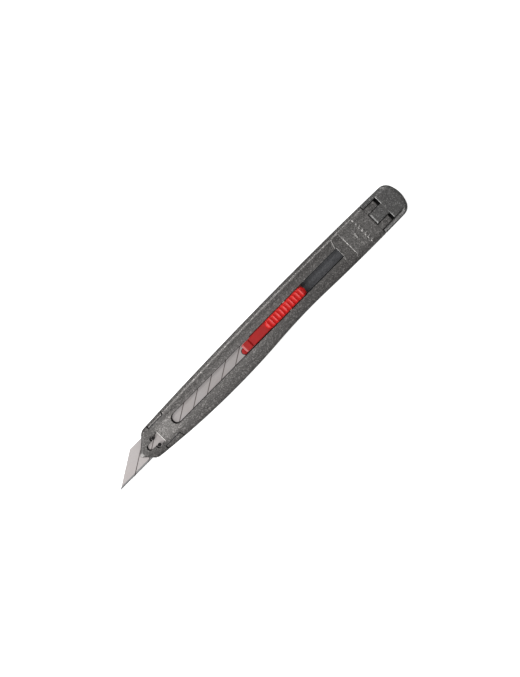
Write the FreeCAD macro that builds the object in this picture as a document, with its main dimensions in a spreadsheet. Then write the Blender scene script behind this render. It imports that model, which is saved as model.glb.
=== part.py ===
"""Slim snap-off knife: a slide cutter for 9 mm segmented blades, as separate pieces.

Frame, in millimetres: X runs from the blade's tip to the tail, Y towards the spine side of the
handle, Z out of the face that carries the thumb slider. The knife lies on its back on Z = 0, and
the origin is under the middle of its box. The blade slides on its own axis, which lies
axis_y off the middle, because the handle's belly and spine bulge by different amounts.
"""
import FreeCAD, Part

import math
import os

import Sketcher

DIMENSIONS = {
    # handle outline, seen from above
    "nose_x": -66.5,
    "nose_low_y": -1.35,
    "nose_high_y": 0.35,
    "chin_x": -61.9,
    "brow_x": -59.6,
    "nose_round": 1.25,
    "brow_round": 2.2,
    "spine_crest_x": 20.0,
    "spine_crest_y": 8.31,
    "spine_radius": 1950.0,
    "belly_x": -19.0,
    "belly_y": -8.31,
    "belly_radius": 350.0,
    "waist_x": 24.0,
    "waist_y": -6.79,
    "waist_radius": 258.0,
    "rump_x": 62.0,
    "rump_y": -7.5,
    "rump_radius": 759.0,
    "collar_x": 52.2,
    "cap_x": 66.6,
    "tail_x": 81.9,
    "tail_radius": 13.0,
    "tail_corner": 4.4,
    # heights
    "parting_z": 4.0,
    "face_z": 9.0,
    "collar_z": 9.3,
    "wall": 1.4,
    "ridge_width": 1.1,
    "edge_round": 1.8,
    "back_round": 1.5,
    "back_bevel": 1.1,
    "gap": 0.15,
    "ledge_x": 48.4,
    "ledge_width": 12.0,
    "ledge_radius": 12.0,
    "ledge_rise": 0.12,
    "dimple_radius": 0.75,
    "guide_rib_pitch": 16.0,
    "nose_block_inset": 0.8,
    "nose_block_low_x": -62.5,
    "nose_block_high_x": -60.0,
    # blade, and the guide it lies in
    "axis_y": 0.26,
    "blade_length": 80.0,
    "blade_width": 9.0,
    "blade_thickness": 0.38,
    "blade_bevel": 0.85,
    "blade_angle": 32.0,
    "blade_tip_x": -81.9,
    "blade_z": 6.7,
    "segment_pitch": 8.0,
    "score_width": 0.2,
    "score_depth": 0.12,
    "blade_hole_radius": 1.5,
    "blade_hole_x": -7.1,
    "blade_hole_y": -0.4,
    "guide_front_x": -57.4,
    "guide_rear_x": 50.6,
    "guide_sheet": 0.4,
    "guide_width": 10.1,
    "guide_floor_z": 6.6,
    "detent_pitch": 4.0,
    "detent_radius": 0.8,
    "rivet_x": 48.9,
    "rivet_radius": 0.9,
    "rivet_head_radius": 1.2,
    # slot and nose window
    "slot_front_x": -47.7,
    "slot_rear_x": 47.9,
    "slot_width": 4.8,
    "window_y": -0.55,
    "window_front_x": -62.5,
    "window_rear_x": -55.1,
    "window_neck_x": -57.7,
    "window_neck": 2.6,
    "window_height": 4.7,
    "steady_pin_radius": 0.7,
    "clip_front_x": -56.3,
    "clip_rear_x": -48.1,
    "clip_z": 8.4,
    # slider
    "grip_front_x": 5.8,
    "grip_rear_x": 27.5,
    "grip_width": 4.1,
    "grip_base_z": 8.5,
    "grip_top_z": 10.3,
    "rib_pitch": 1.84,
    "rib_valley_radius": 0.62,
    "first_valley_x": 8.1,
    "arm_width": 3.9,
    "block_front_x": -6.7,
    "block_rear_x": -3.1,
    "block_top_z": 9.2,
    "peg_top_z": 7.3,
    "carriage_front_x": -1.6,
    "carriage_rear_x": 27.3,
    "carriage_width": 8.5,
    "carriage_top_z": 7.45,
    "spring_sheet": 0.25,
    "spring_width": 5.4,
    "ear_x": 17.7,
    "ear_length": 0.9,
    "ear_top_z": 8.8,
    # end cap and the collar's prongs
    "cap_z": 9.1,
    "window_inner_y": 2.59,
    "window_outer_y": 5.64,
    "cap_window_rear_x": 73.1,
    "prong_flat_x": 68.9,
    "prong_end_x": 72.3,
    "tongue_width": 11.2,
    "tongue_low_z": 2.0,
    "tongue_top_z": 7.1,
    "tongue_rear_x": 75.0,
    "cavity_rear_x": 76.4,
    "spigot_width": 12.4,
    "spigot_rear_x": 60.0,
    "spigot_low_z": 1.4,
    "spigot_top_z": 7.9,
    "snap_slit_width": 10.0,
    "snap_slit_low_z": 4.1,
    "snap_slit_height": 0.9,
}

document = FreeCAD.newDocument("snap_off_knife")
sheet = document.addObject("Spreadsheet::Sheet", "Dimensions")
for row, (alias, amount) in enumerate(DIMENSIONS.items(), start=1):
    sheet.set(f"A{row}", alias)
    sheet.set(f"B{row}", str(amount))
    sheet.setAlias(f"B{row}", alias)
document.recompute()


class Size:
    """A length with both its value and the expression that works it out from the sheet."""

    def __init__(self, value, expression):
        self.value = value
        self.expression = expression

    @staticmethod
    def of(other):
        if isinstance(other, Size):
            return other
        return Size(float(other), f"({other})")

    def __add__(self, other):
        other = Size.of(other)
        return Size(self.value + other.value, f"({self.expression} + {other.expression})")

    def __sub__(self, other):
        other = Size.of(other)
        return Size(self.value - other.value, f"({self.expression} - {other.expression})")

    def __mul__(self, other):
        other = Size.of(other)
        return Size(self.value * other.value, f"({self.expression} * {other.expression})")

    def __truediv__(self, other):
        other = Size.of(other)
        return Size(self.value / other.value, f"({self.expression} / {other.expression})")

    def __neg__(self):
        return Size(-self.value, f"(-1 * {self.expression})")


def size(alias):
    """The named driving dimension."""
    return Size(float(sheet.get(alias)), f"Dimensions.{alias}")


ZERO = Size(0.0, "0")


# ---- sketches and features -----------------------------------------------------------------

def new_body(label):
    body = document.addObject("PartDesign::Body", label)
    body.Label = label
    return body


def new_sketch(body, plane, offset=ZERO):
    """A sketch on one of the body's own origin planes, moved along that plane's normal."""
    sketch = body.newObject("Sketcher::SketchObject", f"{body.Label}_sketch")
    support = next(item for item in body.Origin.OriginFeatures if item.Role == plane)
    sketch.AttachmentSupport = [(support, "")]
    sketch.MapMode = "FlatFace"
    sketch.setExpression("AttachmentOffset.Base.z", offset.expression)
    return sketch


def bind(sketch, constraint, amount):
    index = sketch.addConstraint(constraint)
    sketch.setExpression(f"Constraints[{index}]", amount.expression)


def pin_point(sketch, geometry, point, x, y):
    """Hold one point of the sketch at (x, y)."""
    bind(sketch, Sketcher.Constraint("DistanceX", -1, 1, geometry, point, x.value), x)
    bind(sketch, Sketcher.Constraint("DistanceY", -1, 1, geometry, point, y.value), y)


def arc_between(start, end, radius):
    """The circle arc from start to end, anticlockwise where radius is positive."""
    chord = end - start
    left = FreeCAD.Vector(-chord.y, chord.x, 0).normalize()
    reach = math.sqrt(radius ** 2 - (chord.Length / 2) ** 2)
    centre = (start + end) / 2 + left * math.copysign(reach, radius)
    first, last = (start, end) if radius > 0 else (end, start)
    circle = Part.Circle(centre, FreeCAD.Vector(0, 0, 1), abs(radius))
    angles = [math.atan2(point.y - centre.y, point.x - centre.x) for point in (first, last)]
    return Part.ArcOfCircle(circle, angles[0], angles[1])


def draw_loop(sketch, corners):
    """A closed outline. A corner is (x, y), or (x, y, radius) where the edge after it is an arc."""
    points = [FreeCAD.Vector(corner[0].value, corner[1].value, 0) for corner in corners]
    edges = []
    for index, corner in enumerate(corners):
        start = points[index]
        end = points[(index + 1) % len(points)]
        if len(corner) == 2:
            geometry = sketch.addGeometry(Part.LineSegment(start, end))
            edges.append((geometry, 1, 2))
            continue
        radius = corner[2]
        geometry = sketch.addGeometry(arc_between(start, end, radius.value))
        anticlockwise = radius.value > 0
        edges.append((geometry, 1, 2) if anticlockwise else (geometry, 2, 1))
        length = radius if anticlockwise else -radius
        bind(sketch, Sketcher.Constraint("Radius", geometry, length.value), length)
    for index, (geometry, start, end) in enumerate(edges):
        following, following_start, unused_end = edges[(index + 1) % len(edges)]
        sketch.addConstraint(Sketcher.Constraint("Coincident", geometry, end, following, following_start))
        pin_point(sketch, geometry, start, corners[index][0], corners[index][1])


def draw_box(sketch, low_x, high_x, low_y, high_y):
    draw_loop(sketch, [(low_x, low_y), (high_x, low_y), (high_x, high_y), (low_x, high_y)])


def draw_circle(sketch, x, y, radius):
    centre = FreeCAD.Vector(x.value, y.value, 0)
    geometry = sketch.addGeometry(Part.Circle(centre, FreeCAD.Vector(0, 0, 1), radius.value))
    bind(sketch, Sketcher.Constraint("Radius", geometry, radius.value), radius)
    pin_point(sketch, geometry, 3, x, y)


def draw_slot(sketch, low_x, high_x, y, width):
    """A round-ended slot along X, low_x and high_x being its outer ends."""
    radius = width / 2
    centres = [(low_x + radius, math.pi / 2, 3 * math.pi / 2), (high_x - radius, -math.pi / 2, math.pi / 2)]
    ends = []
    for centre_x, first, last in centres:
        centre = FreeCAD.Vector(centre_x.value, y.value, 0)
        circle = Part.Circle(centre, FreeCAD.Vector(0, 0, 1), radius.value)
        geometry = sketch.addGeometry(Part.ArcOfCircle(circle, first, last))
        pin_point(sketch, geometry, 3, centre_x, y)
        bind(sketch, Sketcher.Constraint("Radius", geometry, radius.value), radius)
        ends.append(geometry)
    left, right = ends
    for side, left_point, right_point in ((1, 1, 2), (-1, 2, 1)):
        height = FreeCAD.Vector(0, side * radius.value, 0)
        start = FreeCAD.Vector(centres[0][0].value, y.value, 0) + height
        end = FreeCAD.Vector(centres[1][0].value, y.value, 0) + height
        line = sketch.addGeometry(Part.LineSegment(start, end))
        sketch.addConstraint(Sketcher.Constraint("Tangent", line, 1, left, left_point))
        sketch.addConstraint(Sketcher.Constraint("Tangent", line, 2, right, right_point))


def add_feature(body, kind, sketch, length, outwards=True):
    """Pad or pocket the sketch. A pad grows along the plane's normal and a pocket cuts against it,
    unless outwards is False. The body's volume has to change by it."""
    before = body.Tip.Shape.Volume if body.Tip else 0.0
    feature = body.newObject(f"PartDesign::{kind}", f"{body.Label}_{kind.lower()}")
    feature.Profile = sketch
    feature.setExpression("Length", length.expression)
    feature.Reversed = not outwards
    settle(feature)
    if abs(feature.Shape.Volume - before) < 1e-4:
        raise RuntimeError(f"{feature.Name} changes nothing")
    return feature


def settle(feature):
    """Recompute, and stop at the first feature that leaves no sound shape."""
    document.recompute()
    if feature.Shape.isNull() or not feature.Shape.isValid():
        raise RuntimeError(f"{feature.Name} has no valid shape")


def pad_on_plan(body, low_z, high_z, draw):
    """Pad an outline drawn on the plan, between two heights."""
    sketch = new_sketch(body, "XY_Plane", low_z)
    draw(sketch)
    return add_feature(body, "Pad", sketch, high_z - low_z)


def cut_on_plan(body, low_z, high_z, draw):
    """Cut an outline drawn on the plan, between two heights."""
    sketch = new_sketch(body, "XY_Plane", high_z)
    draw(sketch)
    return add_feature(body, "Pocket", sketch, high_z - low_z)


def cut_along_x(body, low_x, high_x, draw):
    """Cut an outline drawn across the knife, between two places along it."""
    sketch = new_sketch(body, "YZ_Plane", high_x)
    draw(sketch)
    return add_feature(body, "Pocket", sketch, high_x - low_x)


def repeat_along_x(body, feature, pitch, count):
    """Repeat one feature of the body along X, count times in all."""
    pattern = body.newObject("PartDesign::LinearPattern", f"{body.Label}_pattern")
    pattern.Originals = [feature]
    axis = next(item for item in body.Origin.OriginFeatures if item.Role == "X_Axis")
    pattern.Direction = (axis, [""])
    pattern.Occurrences = count
    pattern.setExpression("Length", (pitch * (count - 1)).expression)
    body.Tip = pattern
    settle(pattern)


def mirror_across_axis(body, features):
    """Mirror features to the other side of the knife's long middle plane."""
    mirror = body.newObject("PartDesign::Mirrored", f"{body.Label}_mirror")
    mirror.Originals = features
    plane = next(item for item in body.Origin.OriginFeatures if item.Role == "XZ_Plane")
    mirror.MirrorPlane = (plane, [""])
    body.Tip = mirror
    settle(mirror)


def dress_edges(body, kind, amount, wanted):
    """Fillet or chamfer each edge of the body for which wanted(bounding box) is true."""
    base = body.Tip
    names = [f"Edge{number}" for number, edge in enumerate(base.Shape.Edges, start=1)
             if wanted(edge.BoundBox)]
    if not names:
        raise RuntimeError(f"{body.Label} has no such edge to {kind.lower()}")
    feature = body.newObject(f"PartDesign::{kind}", f"{body.Label}_{kind.lower()}")
    feature.Base = (base, names)
    feature.setExpression("Radius" if kind == "Fillet" else "Size", amount.expression)
    settle(feature)


def at_height(box, height):
    """Whether an edge's bounding box lies flat at this height."""
    return abs(box.ZMin - height.value) < 0.01 and abs(box.ZMax - height.value) < 0.01


# ---- the handle's outline ------------------------------------------------------------------

def on_crest(x, crest_x, crest_y, radius):
    """The height at x of a shallow arc whose crest is at (crest_x, crest_y)."""
    run = x - crest_x
    return crest_y - run * run / (radius * 2)


def spine_y(x):
    return on_crest(x, size("spine_crest_x"), size("spine_crest_y"), size("spine_radius"))


def belly_y(x):
    return on_crest(x, size("belly_x"), size("belly_y"), -size("belly_radius"))


def rump_y(x):
    return on_crest(x, size("rump_x"), size("rump_y"), -size("rump_radius"))


def shared_point(first, second):
    """Where two arcs of opposite bend meet in one tangent, between their crests."""
    share = size(f"{first}_radius") / (size(f"{first}_radius") + size(f"{second}_radius"))
    run = size(f"{second}_x") - size(f"{first}_x")
    rise = size(f"{second}_y") - size(f"{first}_y")
    return size(f"{first}_x") + run * share, size(f"{first}_y") + rise * share


def draw_handle_outline(sketch):
    """Both covers' outline, from the pointed nose to where the collar begins."""
    belly_end_x, belly_end_y = shared_point("belly", "waist")
    waist_end_x, waist_end_y = shared_point("waist", "rump")
    nose_x = size("nose_x")
    chin_x = size("chin_x")
    brow_x = size("brow_x")
    collar_x = size("collar_x")
    draw_loop(sketch, [
        (nose_x, size("nose_low_y")),
        (chin_x, belly_y(chin_x), size("belly_radius")),
        (belly_end_x, belly_end_y, -size("waist_radius")),
        (waist_end_x, waist_end_y, size("rump_radius")),
        (collar_x, rump_y(collar_x)),
        (collar_x, spine_y(collar_x), size("spine_radius")),
        (brow_x, spine_y(brow_x)),
        (nose_x, size("nose_high_y")),
    ])


def round_nose(body):
    """Round the outline's upright edges at the nose tip, the chin and the brow."""
    def upright(box, low_x, high_x):
        return box.XLength < 0.01 and box.YLength < 0.01 and low_x < box.XMin < high_x

    nose_x = size("nose_x").value
    dress_edges(body, "Fillet", size("nose_round"), lambda box: upright(box, nose_x - 1, nose_x + 1))
    dress_edges(body, "Fillet", size("brow_round"), lambda box: upright(box, nose_x + 1, nose_x + 10))


def draw_channel(sketch, front_x, rear_x):
    """The straight channel that the blade guide lies in."""
    half = size("guide_width") / 2 + size("gap") / 3
    draw_box(sketch, front_x, rear_x, size("axis_y") - half, size("axis_y") + half)


# ---- the covers ----------------------------------------------------------------------------

def clip_sides(clearance):
    """The Y limits of the two snap clips beside the guide, from the inside to past the outside."""
    inner = size("guide_width") / 2 + clearance
    return [(size("axis_y") + inner, size("spine_crest_y")),
            (size("belly_y"), size("axis_y") - inner)]


def make_front_cover():
    body = new_body("front_cover")
    face_z = size("face_z")
    parting_z = size("parting_z")
    axis_y = size("axis_y")
    pad_on_plan(body, parting_z, face_z, draw_handle_outline)
    round_nose(body)
    collar_x = size("collar_x").value

    def on_rim(box):
        return at_height(box, face_z) and box.XMin < collar_x - 1

    dress_edges(body, "Chamfer", size("ridge_width"), on_rim)

    ledge_x = size("ledge_x")
    ledge = size("ledge_width") / 2
    pad_on_plan(body, parting_z, face_z + size("ledge_rise"), lambda sketch: draw_loop(sketch, [
        (size("collar_x"), -ledge), (size("collar_x"), ledge),
        (ledge_x, ledge, size("ledge_radius")), (ledge_x, -ledge)]))
    spigot = size("spigot_width") / 2
    pad_on_plan(body, parting_z, size("spigot_top_z"), lambda sketch: draw_box(
        sketch, size("collar_x") - size("wall"), size("spigot_rear_x"), -spigot, spigot))
    cut_on_plan(body, parting_z, face_z - size("wall"), lambda sketch: draw_channel(
        sketch, size("nose_x") - 1, size("spigot_rear_x") + 1))
    slot = size("slot_width") / 2
    cut_on_plan(body, parting_z, size("collar_z"), lambda sketch: draw_slot(
        sketch, size("slot_front_x"), size("slot_rear_x"), axis_y, size("slot_width")))
    cut_on_plan(body, parting_z, size("collar_z"), lambda sketch: draw_box(
        sketch, size("slot_rear_x") - slot, size("slot_rear_x"), axis_y - slot, axis_y + slot))
    cut_on_plan(body, face_z, face_z + size("ledge_rise"), lambda sketch: draw_circle(
        sketch, size("rivet_x"), axis_y, size("dimple_radius")))
    cut_nose_window(body)
    for low_y, high_y in clip_sides(-size("gap")):
        cut_on_plan(body, parting_z, face_z, lambda sketch: draw_box(
            sketch, size("clip_front_x"), size("clip_rear_x"), low_y, high_y))
    return body


def cut_nose_window(body):
    """The fish-shaped window over the blade, with a round seat at each of its two inner corners."""
    face_z = size("face_z")
    low_z = face_z - size("wall")
    y = size("window_y")
    neck = size("window_neck") / 2
    height = size("window_height") / 2
    neck_x = size("window_neck_x")
    rear_x = size("window_rear_x")
    cut_on_plan(body, low_z, face_z, lambda sketch: draw_slot(
        sketch, size("window_front_x"), rear_x, y, size("window_neck")))
    cut_on_plan(body, low_z, face_z, lambda sketch: draw_loop(
        sketch, [(neck_x, y - neck), (rear_x, y - height), (rear_x, y + height), (neck_x, y + neck)]))
    for seat_y in steady_pin_places():
        cut_on_plan(body, low_z, face_z, lambda sketch: draw_circle(
            sketch, neck_x, seat_y, size("steady_pin_radius")))


def steady_pin_places():
    """The Y of the two pins: just outside the neck of the nose window."""
    reach = size("window_neck") / 2 + size("steady_pin_radius") * 0.8
    return [size("window_y") - reach, size("window_y") + reach]


def make_back_cover():
    body = new_body("back_cover")
    parting_z = size("parting_z")
    wall = size("wall")
    axis_y = size("axis_y")
    pad_on_plan(body, ZERO, parting_z, draw_handle_outline)
    round_nose(body)
    collar_x = size("collar_x").value
    dress_edges(body, "Chamfer", size("back_bevel"),
                lambda box: at_height(box, ZERO) and box.XMin < collar_x - 1)

    spigot = size("spigot_width") / 2
    pad_on_plan(body, size("spigot_low_z"), parting_z, lambda sketch: draw_box(
        sketch, size("collar_x") - wall, size("spigot_rear_x"), -spigot, spigot))
    cut_on_plan(body, wall * 2, parting_z, lambda sketch: draw_channel(
        sketch, size("guide_front_x"), size("spigot_rear_x") + 1))
    add_guide_ribs(body)
    add_nose_block(body)

    for low_y, high_y in clip_sides(size("gap") / 2):
        inset = size("ridge_width") * 1.4
        low = low_y if low_y.value > 0 else low_y + inset
        high = high_y - inset if high_y.value > 0 else high_y
        pad_on_plan(body, parting_z - wall, size("clip_z"), lambda sketch: draw_box(
            sketch, size("clip_front_x") + size("gap"), size("clip_rear_x") - size("gap"), low, high))
    rivet = size("rivet_radius")
    cut_on_plan(body, wall, parting_z, lambda sketch: draw_circle(
        sketch, size("rivet_x"), axis_y, rivet))
    return body


def add_guide_ribs(body):
    """Cross ribs on the back cover's floor that hold the blade guide up."""
    wall = size("wall")
    half = size("guide_width") / 2
    rib_count = 7
    low_x = size("guide_front_x") + wall
    rib = pad_on_plan(body, wall, size("guide_floor_z") - size("guide_sheet"), lambda sketch: draw_box(
        sketch, low_x, low_x + wall, size("axis_y") - half, size("axis_y") + half))
    repeat_along_x(body, rib, size("guide_rib_pitch"), rib_count)


def add_nose_block(body):
    """The solid nose under the blade, which fills the channel in front of the guide."""
    half = size("guide_width") / 2
    low_y = size("axis_y") - half
    high_y = size("axis_y") + half
    tip_x = size("nose_x") + size("nose_block_inset")
    guide_x = size("guide_front_x") - size("gap")
    pad_on_plan(body, size("parting_z"), size("blade_z") - size("gap"), lambda sketch: draw_loop(
        sketch,
        [(tip_x, size("nose_low_y")), (size("nose_block_low_x"), low_y), (guide_x, low_y),
         (guide_x, high_y), (size("nose_block_high_x"), high_y), (tip_x, size("nose_high_y"))]))


def make_steady_pins():
    """Two short pins in the nose window's corners, which stop the blade lifting."""
    pins = []
    for number, pin_y in enumerate(steady_pin_places(), start=1):
        pin = document.addObject("Part::Cylinder", f"steady_pin_{number}")
        low_z = size("blade_z") + size("blade_thickness") + size("gap")
        pin.setExpression("Radius", size("steady_pin_radius").expression)
        pin.setExpression("Height", (size("face_z") - low_z - size("gap") * 2).expression)
        pin.setExpression("Placement.Base.x", size("window_neck_x").expression)
        pin.setExpression("Placement.Base.y", pin_y.expression)
        pin.setExpression("Placement.Base.z", low_z.expression)
        pins.append(pin)
    group = document.addObject("Part::Compound", "steady_pins")
    group.Links = pins
    document.recompute()
    return group


# ---- the blade and its guide ---------------------------------------------------------------

def make_blade_guide():
    """A pressed steel channel, with a row of detent notches along both its upright edges."""
    body = new_body("blade_guide")
    sheet_z = size("guide_sheet")
    axis_y = size("axis_y")
    floor_z = size("guide_floor_z")
    outer = size("guide_width") / 2
    inner = outer - sheet_z
    top_z = size("face_z") - size("wall") - size("gap") / 2
    sketch = new_sketch(body, "YZ_Plane", size("guide_front_x"))
    draw_loop(sketch, [
        (axis_y - outer, floor_z - sheet_z), (axis_y + outer, floor_z - sheet_z),
        (axis_y + outer, top_z), (axis_y + inner, top_z),
        (axis_y + inner, floor_z), (axis_y - inner, floor_z),
        (axis_y - inner, top_z), (axis_y - outer, top_z)])
    add_feature(body, "Pad", sketch, size("guide_rear_x") - size("guide_front_x"))

    first_detent_x = size("ear_x") - size("detent_pitch") * 10
    detent_count = 16
    side = new_sketch(body, "XZ_Plane", -(axis_y + size("guide_width")))
    draw_circle(side, first_detent_x, top_z, size("detent_radius"))
    detent = add_feature(body, "Pocket", side, size("guide_width") * 2, outwards=False)
    repeat_along_x(body, detent, size("detent_pitch"), detent_count)
    cut_on_plan(body, floor_z - sheet_z, floor_z, lambda plan: draw_circle(
        plan, size("rivet_x"), axis_y, size("rivet_radius")))
    return body


def make_guide_rivet():
    """The round-headed rivet that holds the guide's rear end down on the back cover."""
    body = new_body("guide_rivet")
    shank = size("rivet_radius")
    head = size("rivet_head_radius")
    low_z = size("wall") + size("gap")
    floor_z = size("guide_floor_z")
    pad_on_plan(body, low_z, floor_z, lambda sketch: draw_circle(
        sketch, size("rivet_x"), size("axis_y"), shank))
    pad_on_plan(body, floor_z, floor_z + head / 2, lambda sketch: draw_circle(
        sketch, size("rivet_x"), size("axis_y"), head))
    top_z = floor_z + head / 2
    dress_edges(body, "Fillet", head / 3, lambda box: at_height(box, top_z))
    return body


def make_blade():
    """The segmented blade: a strip with a ground edge, a slanted point and scored snap lines."""
    body = new_body("blade")
    axis_y = size("axis_y")
    half = size("blade_width") / 2
    low_z = size("blade_z")
    thickness = size("blade_thickness")
    bevel_y = axis_y - half + size("blade_bevel")
    tip_x = size("blade_tip_x")
    sketch = new_sketch(body, "YZ_Plane", tip_x)
    draw_loop(sketch, [
        (axis_y - half, low_z + thickness / 2), (bevel_y, low_z), (axis_y + half, low_z),
        (axis_y + half, low_z + thickness), (bevel_y, low_z + thickness)])
    add_feature(body, "Pad", sketch, size("blade_length"))

    lean = size("blade_width") / Size.of(math.tan(math.radians(DIMENSIONS["blade_angle"])))
    past = Size.of(0.5)
    past_lean = past / Size.of(math.tan(math.radians(DIMENSIONS["blade_angle"])))
    cut_on_plan(body, low_z - 1, low_z + 1, lambda plan: draw_loop(plan, [
        (tip_x - past_lean, axis_y - half - past), (tip_x + lean + past_lean, axis_y + half + past),
        (tip_x - lean, axis_y + half + past)]))

    first_x = tip_x + size("segment_pitch")
    width = size("score_width")
    score_count = 8
    score = cut_on_plan(body, low_z + thickness - size("score_depth"), low_z + thickness,
                        lambda plan: draw_loop(plan, [
                            (first_x, axis_y - half), (first_x + width, axis_y - half),
                            (first_x + width + lean, axis_y + half), (first_x + lean, axis_y + half)]))
    repeat_along_x(body, score, size("segment_pitch"), score_count)
    cut_on_plan(body, low_z - 1, low_z + 1, lambda plan: draw_circle(
        plan, size("blade_hole_x"), size("blade_hole_y"), size("blade_hole_radius")))
    return body


# ---- the slider ----------------------------------------------------------------------------

def make_slider_carriage():
    """The sliding base under the thumb grip, with its arm, front block and blade peg."""
    body = new_body("slider_carriage")
    axis_y = size("axis_y")
    gap = size("gap")
    arm = size("arm_width") / 2
    wing = size("carriage_width") / 2
    front_x = size("block_front_x")
    rear_x = size("carriage_rear_x")
    low_z = size("blade_z") + gap / 3
    arm_low_z = size("blade_z") + size("blade_thickness") + gap / 2
    base_z = size("grip_base_z")

    pad_on_plan(body, arm_low_z, base_z, lambda sketch: draw_box(
        sketch, front_x, size("grip_rear_x") - arm, axis_y - arm, axis_y + arm))
    pad_on_plan(body, low_z, size("carriage_top_z"), lambda sketch: draw_box(
        sketch, size("carriage_front_x"), rear_x, axis_y - wing, axis_y + wing))
    pad_on_plan(body, base_z, size("block_top_z"), lambda sketch: draw_box(
        sketch, front_x, size("block_rear_x"), axis_y - arm, axis_y + arm))
    dress_edges(body, "Fillet", gap * 2, lambda box: at_height(box, size("block_top_z")))
    pad_on_plan(body, low_z, size("peg_top_z"), lambda sketch: draw_circle(
        sketch, size("blade_hole_x"), size("blade_hole_y"), size("blade_hole_radius") - gap))
    for peg_x in grip_peg_places():
        cut_on_plan(body, size("carriage_top_z"), base_z, lambda sketch: draw_circle(
            sketch, peg_x, axis_y, size("rivet_radius")))

    spring_half = size("spring_width") / 2 + gap
    cut_on_plan(body, low_z, low_z + size("spring_sheet") + gap, lambda sketch: draw_box(
        sketch, size("grip_front_x"), size("grip_rear_x"), axis_y - spring_half, axis_y + spring_half))
    slot = size("ear_length") / 2 + gap
    ear_inner = size("grip_width") / 2
    ear_outer = size("spring_width") / 2 + gap
    for low_y, high_y in ((axis_y + ear_inner - gap, axis_y + ear_outer),
                          (axis_y - ear_outer, axis_y - ear_inner + gap)):
        cut_on_plan(body, low_z, size("grip_base_z"), lambda sketch: draw_box(
            sketch, size("ear_x") - slot, size("ear_x") + slot, low_y, high_y))
    return body


def grip_peg_places():
    """The X of the two pegs that hold the grip on the carriage."""
    third = (size("grip_rear_x") - size("grip_front_x")) / 4
    return [size("grip_front_x") + third, size("grip_rear_x") - third]


def make_thumb_grip():
    """The ribbed grip that stands up through the slot."""
    body = new_body("thumb_grip")
    axis_y = size("axis_y")
    base_z = size("grip_base_z")
    top_z = size("grip_top_z")
    pad_on_plan(body, base_z, top_z, lambda sketch: draw_slot(
        sketch, size("grip_front_x"), size("grip_rear_x"), axis_y, size("grip_width")))
    dress_edges(body, "Fillet", size("edge_round") / 3, lambda box: at_height(box, top_z))
    peg_radius = size("rivet_radius") - size("gap") / 3
    for peg_x in grip_peg_places():
        pad_on_plan(body, size("carriage_top_z") + size("gap"), base_z, lambda sketch: draw_circle(
            sketch, peg_x, axis_y, peg_radius))

    valley_count = 10
    sketch = new_sketch(body, "XZ_Plane", -(axis_y + size("grip_width")))
    draw_circle(sketch, size("first_valley_x"), top_z + size("rib_valley_radius") / 2,
                size("rib_valley_radius"))
    valley = add_feature(body, "Pocket", sketch, size("grip_width") * 2, outwards=False)
    repeat_along_x(body, valley, size("rib_pitch"), valley_count)
    return body


def make_detent_spring():
    """A leaf in the carriage's underside, with two ears that stand up beside the grip."""
    body = new_body("detent_spring")
    axis_y = size("axis_y")
    gap = size("gap")
    low_z = size("blade_z") + gap / 2
    leaf = size("spring_width") / 2
    thickness = size("spring_sheet")
    half_ear = size("ear_length") / 2
    pad_on_plan(body, low_z, low_z + thickness, lambda sketch: draw_box(
        sketch, size("grip_front_x") + gap, size("grip_rear_x") - gap, axis_y - leaf, axis_y + leaf))
    ear_inner = size("grip_width") / 2 + gap / 3
    for low_y, high_y in ((axis_y + ear_inner, axis_y + ear_inner + thickness),
                          (axis_y - ear_inner - thickness, axis_y - ear_inner)):
        pad_on_plan(body, low_z, size("ear_top_z"), lambda sketch: draw_box(
            sketch, size("ear_x") - half_ear, size("ear_x") + half_ear, low_y, high_y))
    return body


# ---- the tail ------------------------------------------------------------------------------

def make_tail_collar():
    """The sleeve that holds both covers' rear ends, with two prongs that key the end cap."""
    body = new_body("tail_collar")
    low_x = size("collar_x") + size("gap")
    high_x = size("cap_x") - size("gap")
    top_z = size("collar_z")
    pad_on_plan(body, ZERO, top_z, lambda sketch: draw_loop(sketch, [
        (low_x, rump_y(low_x), size("rump_radius")), (high_x, rump_y(high_x)),
        (high_x, spine_y(high_x), size("spine_radius")), (low_x, spine_y(low_x))]))
    along_sides = [lambda box: at_height(box, top_z) and box.XLength > 5,
                   lambda box: at_height(box, ZERO) and box.XLength > 5]
    for wanted, amount in zip(along_sides, (size("edge_round"), size("back_round"))):
        dress_edges(body, "Fillet", amount, wanted)

    spigot = size("spigot_width") / 2 + size("gap")
    cut_along_x(body, low_x - 1, size("spigot_rear_x") + size("gap"), lambda sketch: draw_box(
        sketch, -spigot, spigot, size("spigot_low_z") - size("gap") / 3,
        size("spigot_top_z") + size("gap") / 3))
    tongue = size("tongue_width") / 2
    pad_on_plan(body, size("tongue_low_z"), size("tongue_top_z"), lambda sketch: draw_box(
        sketch, high_x, size("tongue_rear_x"), -tongue, tongue))

    clearance = size("gap")
    prong_width = size("window_outer_y") - size("window_inner_y") - clearance * 2
    sketch = new_sketch(body, "XZ_Plane", size("window_inner_y") + clearance)
    foot_x = high_x - 1
    draw_loop(sketch, [
        (foot_x, size("tongue_top_z") - 1), (size("prong_end_x"), size("tongue_top_z") - 1),
        (size("prong_end_x"), size("tongue_top_z") + 0.4), (size("prong_flat_x"), size("cap_z")),
        (foot_x, size("cap_z"))])
    prong = add_feature(body, "Pad", sketch, prong_width)
    mirror_across_axis(body, [prong])
    return body


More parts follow.
